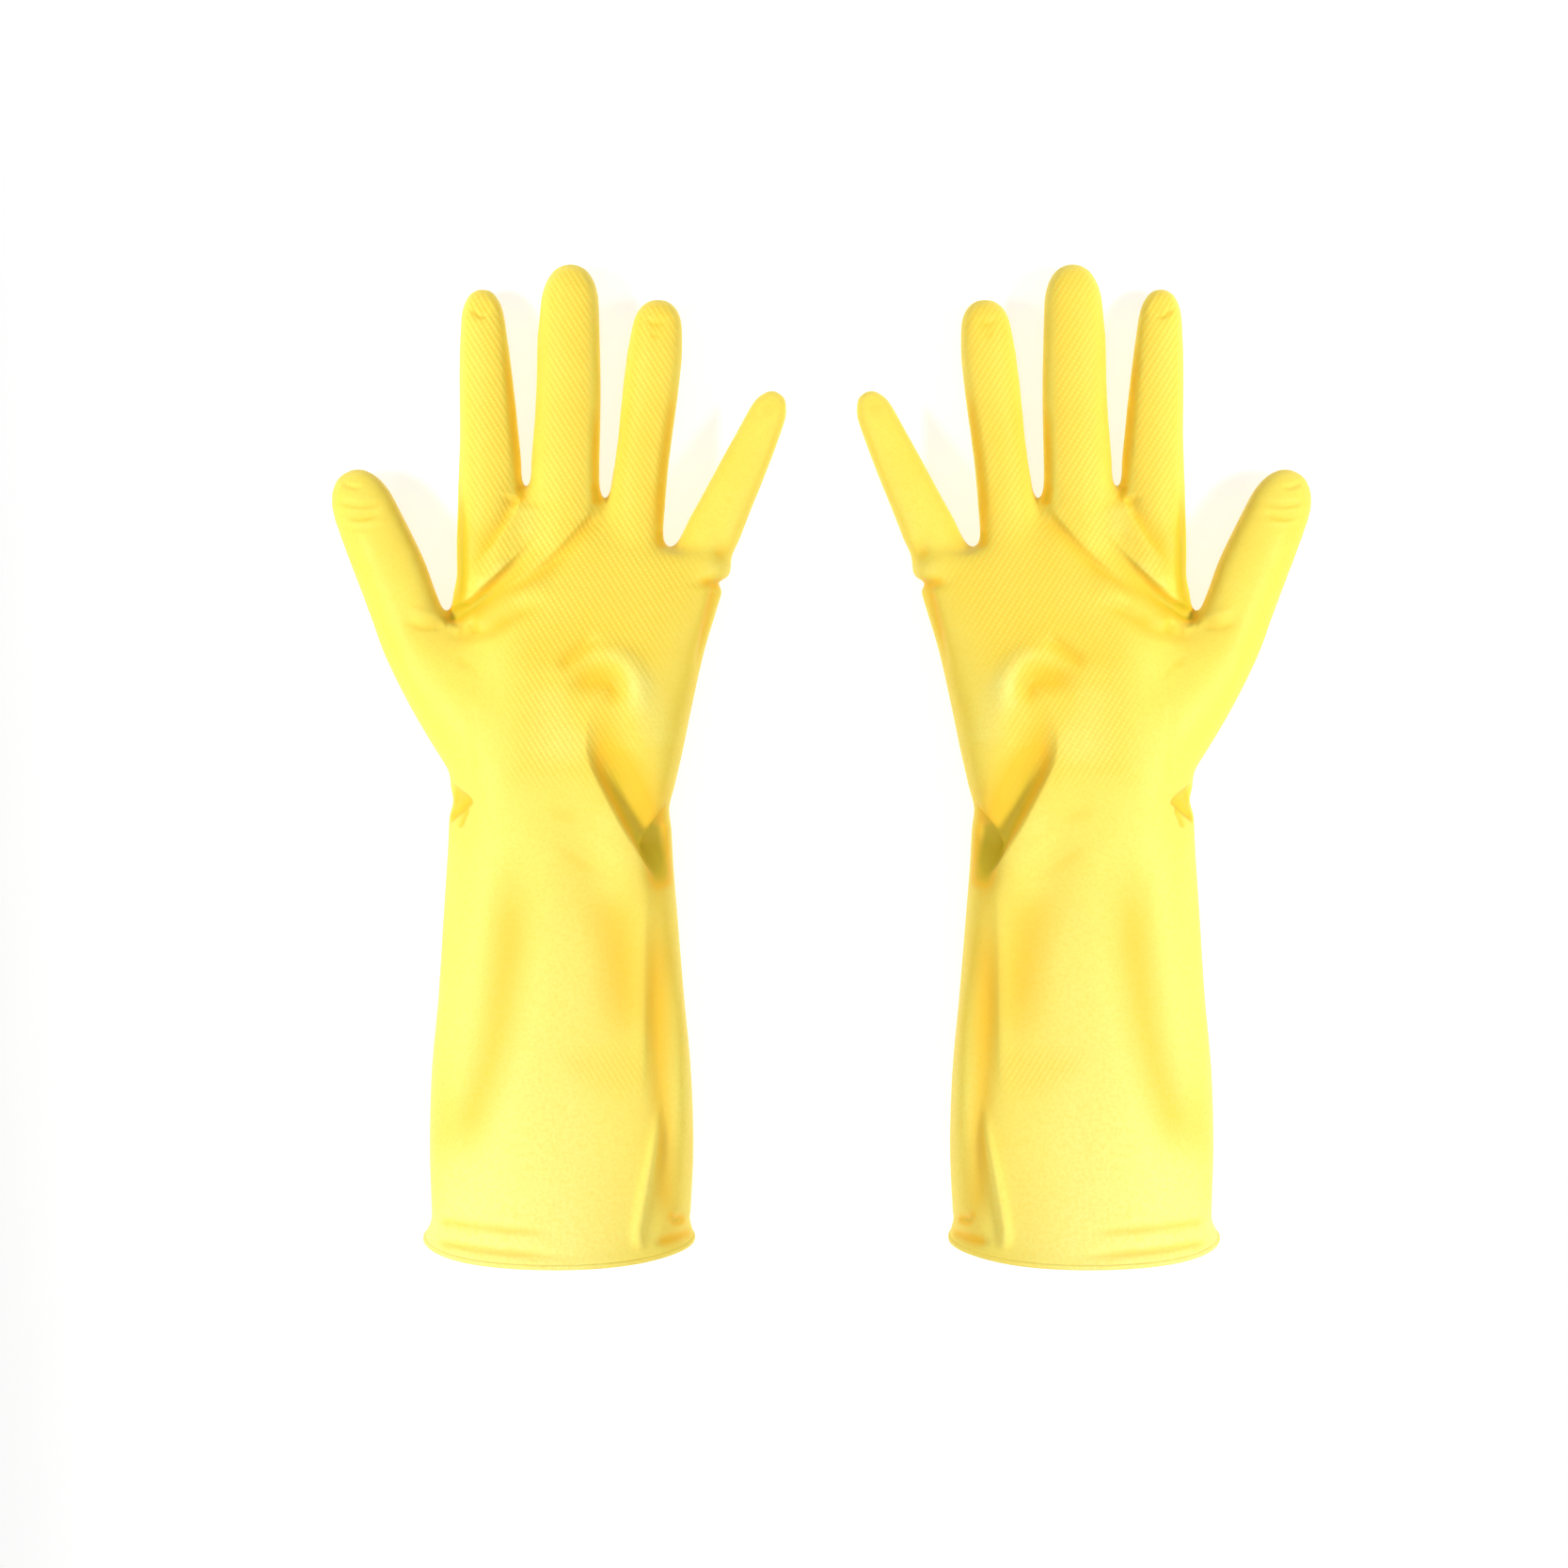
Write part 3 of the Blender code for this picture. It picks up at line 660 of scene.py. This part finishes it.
# y of the cut at the wrist, the tip's cut before its crease, and the half width of a digit's zone
WRIST_CUT = -2.0
TIP_CUT = 9.5
DIGIT_REACH = 17.0


def digit_frames():
    """Base point, heading, and distance to the second crease of each digit of the right glove."""
    frames = {}
    for name in DIGITS:
        base = JOINTS["right_%s_curl" % name]
        tip = JOINTS["right_%s_tip_curl" % name]
        place = np.array(base["pos_m"]) / MM
        heading = np.cross(UP, np.array(base["axis"], float))
        crease = (np.array(tip["pos_m"]) / MM - place) @ heading
        frames[name] = (place, heading, crease)
    return frames


FRAMES = digit_frames()


def zone_of(points):
    """The zone of each point: 0 palm, 1 gauntlet, then 2 and 3 for the first digit, and so on."""
    zones = np.where(points[:, 1] < WRIST_CUT, 1, 0)
    nearest = np.full(len(points), 1e9)
    for number, name in enumerate(DIGITS):
        place, heading, crease = FRAMES[name]
        offset = points - place
        along = offset @ heading
        across = np.abs(offset @ np.cross(heading, UP))
        mine = (along > 0) & (across < DIGIT_REACH) & (across < nearest)
        nearest = np.where(mine, across, nearest)
        zones = np.where(mine, 2 + 2 * number + (along > crease - TIP_CUT), zones)
    return zones


ZONE_NAMES = ["palm", "gauntlet"] + [name + part for name in DIGITS for part in ("_base", "_tip")]


# ---- fine mesh ----

# How far the finer points follow the curve of the surface
CURVING = 0.7


def refined(points, normals, quads, chosen, level):
    """The mesh with chosen quads split level by level, keeping to the curve of the surface.

    Gives points, {edge: its inner points}, quads with their parents, and the polygons beside the
    split ones with theirs."""
    split = quads[chosen]
    edges, which = np.unique(np.sort(side_pairs(split), axis=1), axis=0, return_inverse=True)
    which = which.reshape(4, -1)
    count = len(points)
    inner = level - 1
    steps = np.arange(1, level) / level

    def curved(weights, corners):
        """Points inside polygons of corners, pulled onto the surface that the normals describe."""
        flat = np.einsum("wc,ncx->nwx", weights, points[corners])
        bent = np.zeros_like(flat)
        for corner in range(corners.shape[1]):
            origin = points[corners[:, corner]][:, None]
            normal = normals[corners[:, corner]][:, None]
            drop = ((flat - origin) * normal).sum(axis=2, keepdims=True)
            bent += weights[None, :, corner, None] * (flat - drop * normal)
        return (1.0 - CURVING) * flat + CURVING * bent

    edge_weights = np.stack((1 - steps, steps), axis=1)
    edge_points = curved(edge_weights, edges)
    edge_numbers = count + np.arange(len(edges) * inner).reshape(-1, inner)
    grid = [(i / level, j / level) for j in range(1, level) for i in range(1, level)]
    face_weights = np.array([((1 - s) * (1 - t), s * (1 - t), s * t, (1 - s) * t) for s, t in grid])
    face_points = curved(face_weights, split)
    face_numbers = count + edge_numbers.size + np.arange(len(split) * inner * inner)
    face_numbers = face_numbers.reshape(-1, inner, inner)
    all_points = np.vstack((points, edge_points.reshape(-1, 3), face_points.reshape(-1, 3)))

    table = np.empty((len(split), level + 1, level + 1), np.int64)
    table[:, 0, 0], table[:, 0, -1] = split[:, 0], split[:, 1]
    table[:, -1, -1], table[:, -1, 0] = split[:, 2], split[:, 3]
    table[:, 1:-1, 1:-1] = face_numbers

    def chain(side, first, second):
        numbers = edge_numbers[which[side]]
        backwards = split[:, first] > split[:, second]
        return np.where(backwards[:, None], numbers[:, ::-1], numbers)

    table[:, 0, 1:-1] = chain(0, 0, 1)
    table[:, 1:-1, -1] = chain(1, 1, 2)
    table[:, -1, 1:-1] = chain(2, 3, 2)
    table[:, 1:-1, 0] = chain(3, 0, 3)
    small = np.stack((table[:, :-1, :-1], table[:, :-1, 1:], table[:, 1:, 1:], table[:, 1:, :-1]),
                     axis=3).reshape(-1, 4)
    parents = np.repeat(np.flatnonzero(chosen), level * level)

    chains = {tuple(edge): numbers.tolist() for edge, numbers in zip(edges.tolist(), edge_numbers)}
    touched = np.zeros(count, bool)
    touched[split] = True
    rest = np.flatnonzero(~chosen)
    beside = touched[quads[rest]].sum(axis=1) >= 2
    whole, whole_parents = [small, quads[rest[~beside]]], [parents, rest[~beside]]
    mixed, mixed_parents = [], []
    for face in rest[beside].tolist():
        corners = quads[face].tolist()
        polygon = []
        for a, b in zip(corners, corners[1:] + corners[:1]):
            polygon += [a] + edge_chain(chains, a, b)
        if len(polygon) == 4:
            whole.append(np.array([polygon]))
            whole_parents.append(np.array([face]))
        else:
            mixed.append(polygon)
            mixed_parents.append(face)
    return (all_points, chains, np.vstack(whole), np.concatenate(whole_parents), mixed,
            np.array(mixed_parents, int))


def edge_chain(chains, a, b):
    """The points between a and b along an edge, in that order."""
    if a < b:
        return chains.get((a, b), [])
    return chains.get((b, a), [])[::-1]


# ---- pieces ----

def make_piece(name, points, normals, faces, attributes, flip):
    """A mesh object from millimetre points and groups of polygons, each an array of equal ones or a
    list; flip mirrors it to the left glove."""
    blocks = []
    for group in faces:
        blocks += [group] if isinstance(group, np.ndarray) else [np.array([face]) for face in group]
    used = np.unique(np.concatenate([block.ravel() for block in blocks]))
    number = np.full(len(points), -1)
    number[used] = np.arange(len(used))
    corners, starts, reached = [], [], 0
    for block in blocks:
        block = number[block]
        if flip:
            block = block[:, ::-1]
        corners.append(block.ravel())
        starts.append(reached + np.arange(len(block)) * block.shape[1])
        reached += block.size
    corners = np.concatenate(corners)
    starts = np.concatenate(starts)
    mirror = (-1, 1, 1) if flip else (1, 1, 1)
    place = points[used] * MM * mirror
    normal = normals[used] * mirror
    mesh = bpy.data.meshes.new(name)
    mesh.vertices.add(len(place))
    mesh.vertices.foreach_set("co", place.astype(np.float32).ravel())
    mesh.loops.add(len(corners))
    mesh.loops.foreach_set("vertex_index", corners.astype(np.int32))
    mesh.polygons.add(len(starts))
    mesh.polygons.foreach_set("loop_start", starts.astype(np.int32))
    mesh.update(calc_edges=True)
    mesh.shade_smooth()
    mesh.normals_split_custom_set_from_vertices(normal.tolist())
    for title, values in attributes.items():
        values = values[used]
        kind, field = ("FLOAT", "value") if values.ndim == 1 else ("FLOAT_VECTOR", "vector")
        layer = mesh.attributes.new(title, kind, "POINT")
        layer.data.foreach_set(field, values.astype(np.float32).ravel())
    return new_item(name, mesh)


def side_point(point, side):
    x, y, z = np.asarray(point) * MM
    return (-x if side == "left" else x, y, z)


# Ends of each zone's bend, which attach works out but does not use: the wrist's start and end, the
# margin inside a digit's base, and the reach on each side of a digit's second crease
WRIST_BLEND = ((83.65, -3.5, 20.0), (83.65, -27.0, 20.0))
BASE_MARGIN = 1.5
CREASE_REACH = 8.0


def attach(item, side, zone):
    """Attaches a palm piece to its palm body; every other piece is fixed where it is, and the points
    worked out for it are not used.
    """
    palm = "%s_palm" % side
    if zone == "palm":
        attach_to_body(item, palm)
    elif zone == "gauntlet":
        start, end = WRIST_BLEND
        side_point(start, side)
        side_point(end, side)
        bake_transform(item)
    else:
        digit, part = zone.split("_")
        place, heading, crease = FRAMES[digit]
        body = "%s_%s" % (side, digit)
        if part == "base":
            pair, start, end = (palm, body), BASE_MARGIN, crease - TIP_CUT - BASE_MARGIN
        else:
            pair, start, end = (body, body + "_tip"), crease - CREASE_REACH, crease + CREASE_REACH
        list(pair)
        side_point(place + start * heading, side)
        side_point(place + end * heading, side)
        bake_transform(item)


def patch_walls(quads, chains, count):
    """Closing walls of a patch: polygons from the outer edge to the inner copy, count higher."""
    pairs = directed_edges(quads)
    return [[b] + edge_chain(chains, b, a) + [a, a + count, b + count]
            for a, b in pairs if (b, a) not in pairs]


def zone_pieces(zone, layer, slot, *form):
    """One zone's layer on both gloves."""
    for side in ("left", "right"):
        node = "%s_%s%s" % (side, zone, layer)
        item = make_piece(node + "_skin", *form, side == "left")
        attach(item, side, zone)
        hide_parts(node)
        yield item


# The finer mesh: levels of splitting, how far up its faces look, the y it starts from, the margin
# round the gauntlet's grip, and how far along and how steep it goes beside the inner edge's folds
LEVEL = 3
FINE_FACING = 0.12
FINE_START = -46.0
FINE_MARGIN = 6.0
EDGE_REACH = 4.5
EDGE_FACING = 0.05


def build_skin(skin):
    """The latex of both gloves, zone by zone."""
    points, quads, normals = skin["points"], skin["quads"], skin["normals"]
    centres = points[quads].mean(axis=1)
    facing = normals[quads].mean(axis=1)[:, 2]
    chosen = ((centres[:, 1] > FINE_START)
              | (inside_outline(centres[:, :2], GRIP_CUFF, FINE_MARGIN) > 0))
    chosen &= facing > FINE_FACING
    for fold in SHARP_FOLDS[-2:]:
        ridge, _ = path_distance(centres[:, :2], fold[0])
        chosen |= (facing > EDGE_FACING) & (np.abs(ridge) < EDGE_REACH)
    all_points, chains, whole, parents, mixed, mixed_parents = refined(
        points, normals, quads, chosen, LEVEL)
    groups = [whole] + same_size(mixed)
    even_normals = polygon_normals(all_points, groups)
    even_normals[:len(points)] = normals
    grip = grip_mask(all_points, even_normals)
    folds = fold_relief(all_points, even_normals)
    ribs = grip_ribs(all_points) * grip
    relief = folds + GRIP_HEIGHT * ribs
    outer = all_points + relief[:, None] * even_normals
    outer_normals = polygon_normals(outer, groups)
    inner = skin["folded"] - LATEX * skin["folded_normals"]
    count = len(outer)
    stack = np.vstack((outer, inner))
    stack_normals = np.vstack((outer_normals, -skin["folded_normals"]))
    # The fold mark: the relief's height, less the painted shade and light; the material paints shade
    # and highlight from it
    fold_and_painted_shade = folds - painted_light_and_shade(all_points, even_normals)
    attributes = {"spot": np.vstack((all_points, points)) * MM}
    for title, values in (("grip", grip), ("fold", fold_and_painted_shade), ("rib", ribs)):
        attributes[title] = np.concatenate((values, np.zeros(len(points))))
    zones = zone_of(centres)
    for number, zone in enumerate(ZONE_NAMES):
        mine = quads[zones == number]
        faces = [whole[zones[parents] == number],
                 [face for face, parent in zip(mixed, mixed_parents) if zones[parent] == number],
                 mine[:, ::-1] + count, patch_walls(mine, chains, count)]
        yield from zone_pieces(zone, "", "latex", stack, stack_normals, faces, attributes)


def same_size(polygons):
    """Polygons grouped by their number of corners."""
    sizes = {}
    for polygon in polygons:
        sizes.setdefault(len(polygon), []).append(polygon)
    return [np.array(group) for group in sizes.values()]


# How far inside the rim the lining starts
LINING_START = 0.9


def build_lining(skin):
    """The flock lining of both gloves, zone by zone."""
    points, quads = skin["points"], skin["quads"]
    normals = skin["folded_normals"]
    depth = MOUTH_Y - skin["straight_y"]
    keep = (depth[quads] < -LINING_START).all(axis=1)
    quads = quads[keep]
    outer = skin["folded"] - (LATEX + FLOCK_GAP) * normals
    inner = outer - FLOCK * normals
    count = len(points)
    stack = np.vstack((outer, inner))
    stack_normals = np.vstack((normals, -normals))
    attributes = {"spot": np.vstack((points, points)) * MM}
    zones = zone_of(points[quads].mean(axis=1))
    for number, zone in enumerate(ZONE_NAMES):
        mine = quads[zones == number]
        faces = [mine, mine[:, ::-1] + count, patch_walls(mine, {}, count)]
        yield from zone_pieces(zone, "_lining", "flock", stack, stack_normals, faces, attributes)


# The bead: radius, how far its middle stands out from the middle of the latex, sides
BEAD = 0.85
BEAD_OUT = 0.1
BEAD_SIDES = 16


def build_bead(skin):
    """The rolled bead round each mouth: a tube swept along the rim."""
    rim = skin["rim"]
    middle = (skin["folded"] - 0.5 * LATEX * skin["folded_normals"])[rim]
    outward = skin["folded_normals"][rim]
    for _ in range(3):
        middle = 0.5 * middle + 0.25 * (np.roll(middle, 1, axis=0) + np.roll(middle, -1, axis=0))
    heading = np.roll(middle, -1, axis=0) - np.roll(middle, 1, axis=0)
    heading /= np.linalg.norm(heading, axis=1)[:, None]
    outward -= (outward * heading).sum(axis=1)[:, None] * heading
    outward /= np.linalg.norm(outward, axis=1)[:, None]
    across = np.cross(heading, outward)
    middle = middle + BEAD_OUT * outward
    turns = 2 * np.pi * np.arange(BEAD_SIDES) / BEAD_SIDES
    ring = (np.cos(turns)[None, :, None] * outward[:, None]
            + np.sin(turns)[None, :, None] * across[:, None])
    points = (middle[:, None] + BEAD * ring).reshape(-1, 3)
    points[:, 2] = np.maximum(points[:, 2], 0.0)
    normals = ring.reshape(-1, 3)
    step = np.arange(len(rim))[:, None] * BEAD_SIDES
    onward = np.roll(step, -1, axis=0)
    place = np.arange(BEAD_SIDES)[None, :]
    after = (place + 1) % BEAD_SIDES
    quads = np.stack((step + place, step + after, onward + after, onward + place),
                     axis=2).reshape(-1, 4)
    if (polygon_normals(points, [quads]) * normals).sum() < 0:
        quads = quads[:, ::-1]
    flat = np.zeros(len(points))
    attributes = {"spot": points * MM, "grip": flat, "fold": flat, "rib": flat}
    for side in ("left", "right"):
        item = make_piece("%s_bead" % side, points, normals, [quads], attributes, side == "left")
        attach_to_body(item, "%s_gauntlet" % side)
        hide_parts("%s_cuff_bead" % side)
        yield item


# ---- materials ----

class Tree:
    """The nodes of one material or world, with a short way to add each kind that is used."""

    def __init__(self, owner):
        owner.use_nodes = True
        self.owner = owner
        self.nodes = owner.node_tree.nodes
        self.shader = next((node for node in self.nodes if node.type == "BSDF_PRINCIPLED"), None)

    def add(self, kind, **inputs):
        return self.fill(self.nodes.new("ShaderNode" + kind), inputs)

    def fill(self, node, inputs):
        """Sets a node's inputs, each to a number, a colour or another node's output."""
        for title, value in inputs.items():
            socket = node.inputs[title.replace("_", " ")]
            if isinstance(value, bpy.types.NodeSocket):
                self.owner.node_tree.links.new(value, socket)
            elif socket.type == "RGBA":
                socket.default_value = value + (1.0,)
            else:
                socket.default_value = value
        return node

    def finish(self, **inputs):
        self.fill(self.shader, inputs)
        return self.owner

    def attribute(self, name, output):
        node = self.add("Attribute")
        node.attribute_name = name
        return node.outputs[output]

    def noise(self, source, scale, detail, roughness=0.5):
        node = self.add("TexNoise", Scale=scale, Detail=detail, Roughness=roughness, Vector=source)
        return node.outputs["Fac"]

    def mapped(self, source, low, high, to_low, to_high):
        ends = {"From Min": low, "From Max": high, "To Min": to_low, "To Max": to_high}
        return self.add("MapRange", Value=source, **ends).outputs["Result"]

    def ramp(self, source, stops):
        node = self.add("ValToRGB", Fac=source)
        for element, (place, colour) in zip(node.color_ramp.elements, stops):
            element.position = place
            element.color = colour + (1.0,)
        return node.outputs["Color"]

    def mixed(self, factor, first, second):
        """Two colours mixed by a factor."""
        node = self.nodes.new("ShaderNodeMix")
        node.data_type = "RGBA"
        return self.fill(node, {"Factor": factor, "A": first, "B": second}).outputs["Result"]

    def bump(self, height, strength, distance, **inputs):
        node = self.add("Bump", Height=height, Strength=strength, Distance=distance, **inputs)
        return node.outputs["Normal"]


LATEX_LIGHT = (0.95, 0.77, 0.115)
LATEX_DARK = (0.95, 0.73, 0.095)
LATEX_CUFF = (0.96, 0.84, 0.240)
LATEX_GRIP = (0.93, 0.66, 0.060)
# Painted highlight of ridges, painted shade of creases and grooves, deeper painted shade of the deepest
# folds
LATEX_RIDGE_HIGHLIGHT = (0.97, 0.87, 0.220)
LATEX_CREASE_SHADE = (0.96, 0.55, 0.020)
LATEX_DEEP_SHADE = (0.64, 0.50, 0.020)
FLOCK_DARK = (0.80, 0.62, 0.20)
FLOCK_LIGHT = (0.92, 0.80, 0.42)
FLOCK_SPECK = (0.95, 0.88, 0.60)
# Painted light: a glow of the lining that lifts the shade inside the glove
FLOCK_PAINTED_GLOW = 0.08
WHITE = (1.0, 1.0, 1.0)
FLOOR_GREY = (0.50, 0.50, 0.50)
FLOOR_GLOW = 0.66


# Share of the paler cuff colour, growing towards the mouth along y and towards the outer side along x:
# the values between which it grows, least and most; the inner side keeps less of it and looks more
# orange, as painted shade
WARM_Y = (0.02, -0.15, 0.0, 0.9)
INNER_SIDE_SHADE_X = (0.056, 0.080, 0.25, 1.0)
# Tints over that, most of them painted shade and painted highlight: the mark each follows, the values
# where it starts and is full, its share, colour
TINTS = (
    # the grip patch: its own deeper colour, with painted shade of its ribs
    ("grip", 0.0, 1.0, 0.3, LATEX_GRIP),
    # painted shade in the grooves between the ribs
    ("rib", 0.0, -0.4, 0.65, LATEX_CREASE_SHADE),
    # painted highlight on ridges and painted light on the palm's paler patches
    ("fold", 0.3, 2.6, 0.8, LATEX_RIDGE_HIGHLIGHT),
    ("grain", 0.4, 0.7, 0.35, LATEX_GRIP),
    # painted shade in valleys and creases
    ("fold", -0.25, -2.6, 0.85, LATEX_CREASE_SHADE),
    # deeper painted shade in the deepest folds
    ("fold", -3.0, -6.0, 0.9, LATEX_DEEP_SHADE),
)


def latex_material():
    tree = Tree(bpy.data.materials.new("yellow_latex"))
    spot = tree.attribute("spot", "Vector")
    clouds = tree.noise(spot, 38.0, 3.0)
    grain = tree.noise(spot, 900.0, 2.0)
    tone = tree.ramp(clouds, ((0.35, LATEX_DARK), (0.65, LATEX_LIGHT)))
    apart = tree.add("SeparateXYZ", Vector=spot).outputs
    # the cuff colour's share; its fall on the inner side is painted shade
    cuff_share_and_inner_shade = tree.add("Math")
    cuff_share_and_inner_shade.operation = "MULTIPLY"
    for socket, title, span in ((cuff_share_and_inner_shade.inputs[0], "Y", WARM_Y), (cuff_share_and_inner_shade.inputs[1], "X", INNER_SIDE_SHADE_X)):
        tree.owner.node_tree.links.new(tree.mapped(apart[title], *span), socket)
    tone = tree.mixed(cuff_share_and_inner_shade.outputs["Value"], tone, LATEX_CUFF)
    # The marks that carry the tints, among them the painted shade and highlight of the folds and ribs
    marks = {title: tree.attribute(title, "Fac") for title in ("grip", "rib", "fold")}
    marks["grain"] = grain
    for mark, start, full, share, colour in TINTS:
        tone = tree.mixed(tree.mapped(marks[mark], start, full, 0.0, share), tone, colour)
    swell = tree.bump(tree.noise(spot, 150.0, 2.0), 0.25, 0.0006)
    return tree.finish(Base_Color=tone, Roughness=tree.mapped(grain, 0.3, 0.7, 0.48, 0.60),
                       Specular_IOR_Level=0.28, IOR=1.5, Subsurface_Weight=0.06,
                       Subsurface_Scale=0.002, Subsurface_Radius=(1.0, 0.55, 0.15),
                       Normal=tree.bump(grain, 0.12, 0.0002, Normal=swell))


def flock_material():
    tree = Tree(bpy.data.materials.new("flock_lining"))
    spot = tree.attribute("spot", "Vector")
    fibres = tree.noise(spot, 1500.0, 3.0, 0.7)
    tufts = tree.noise(spot, 260.0, 3.0, 0.6)
    colour = tree.ramp(tufts, ((0.30, FLOCK_DARK), (0.70, FLOCK_LIGHT)))
    colour = tree.mixed(tree.mapped(fibres, 0.35, 0.7, 0.0, 0.5), colour, FLOCK_SPECK)
    # The emission is painted light that lifts the lining's shade.
    return tree.finish(Base_Color=colour, Roughness=0.95, Specular_IOR_Level=0.15,
                       Sheen_Weight=0.35, Sheen_Roughness=0.5, Emission_Color=colour,
                       Emission_Strength=FLOCK_PAINTED_GLOW, Normal=tree.bump(fibres, 0.7, 0.0004))


def floor_material():
    tree = Tree(bpy.data.materials.new("pale_floor"))
    return tree.finish(Base_Color=FLOOR_GREY, Emission_Color=WHITE, Emission_Strength=FLOOR_GLOW,
                       Roughness=0.9, Specular_IOR_Level=0.1)


# ---- camera, light and floor ----

# The camera looks straight down: width and centre of the view at a height, in metres
VIEW_WIDTH = 0.5001
VIEW_CENTRE = (-0.012, -0.0063)
LENS = 300.0
SENSOR = 36.0
AIM_HEIGHT = 0.022


def place_camera():
    camera = bpy.data.cameras.new("overhead")
    camera.lens = LENS
    camera.sensor_width = SENSOR
    camera.clip_end = 20.0
    item = new_item("overhead", camera)
    item.location = VIEW_CENTRE + (AIM_HEIGHT + VIEW_WIDTH * LENS / SENSOR,)
    bpy.context.scene.camera = item


def soft_box(name, place, target, size, power, spread_angle):
    light = bpy.data.lights.new(name, "AREA")
    light.shape = "RECTANGLE"
    light.size, light.size_y = size
    light.energy = power
    light.spread = math.radians(spread_angle)
    item = new_item(name, light)
    item.location = place
    item.rotation_euler = (Vector(target) - Vector(place)).to_track_quat("-Z", "Y").to_euler()


# The white surroundings, as light and as seen, and the lights: place, target, size, power, spread
WORLD_LIGHT = 0.34
WORLD_SEEN = 0.84
TOP_LIGHT = ((0.0, -0.25, 1.6), (0.0, -0.1, 0.0), (0.8, 0.8), 2.7, 180.0)
SIDE_LIGHT = ((0.72, -0.10, 0.74), (0.105, -0.06, 0.02), (1.0, 0.16), 0.58, 20.0)


def light_scene():
    tree = Tree(bpy.data.worlds.new("studio"))
    seen = tree.add("LightPath").outputs["Is Camera Ray"]
    strength = tree.mapped(seen, 0.0, 1.0, WORLD_LIGHT, WORLD_SEEN)
    tree.fill(tree.nodes["Background"], {"Color": WHITE, "Strength": strength})
    bpy.context.scene.world = tree.owner
    soft_box("top", *TOP_LIGHT)
    place, target, *rest = SIDE_LIGHT
    for side in (-1, 1):
        mirror = np.array((side, 1, 1))
        soft_box("side_%d" % (side + 1), mirror * place, mirror * target, *rest)
    settings = bpy.context.scene.view_settings
    settings.view_transform = "Standard"
    settings.look = "None"


def lay_floor():
    reach = 6.0
    corners = [(-reach, -reach, 0), (reach, -reach, 0), (reach, reach, 0), (-reach, reach, 0)]
    mesh = bpy.data.meshes.new("floor")
    mesh.from_pydata(corners, [], [(0, 1, 2, 3)])
    mesh.materials.append(floor_material())
    new_item("floor", mesh)


# ---- everything ----

def prepare():
    """One glove's smooth skin, its smoothed normals, its folded skin, and y before the mouth's lean."""
    points, quads, edges, rim = glove_skin()
    normals = polygon_normals(points, [quads])
    normals = spread(normals, edges, 2, 0.5)
    normals /= np.linalg.norm(normals, axis=1)[:, None]
    folded = points + fold_relief(points, normals)[:, None] * normals
    straight = points[:, 1] + MOUTH_LEAN * (points[:, 2] - MOUTH_Z)
    return {"points": points, "quads": quads, "rim": rim, "normals": normals, "folded": folded,
            "folded_normals": polygon_normals(folded, [quads]), "straight_y": straight}


skin = prepare()
latex = latex_material()
flock = flock_material()
for build, material in ((build_skin, latex), (build_bead, latex), (build_lining, flock)):
    for piece in build(skin):
        piece.data.materials.append(material)
place_camera()
light_scene()
lay_floor()
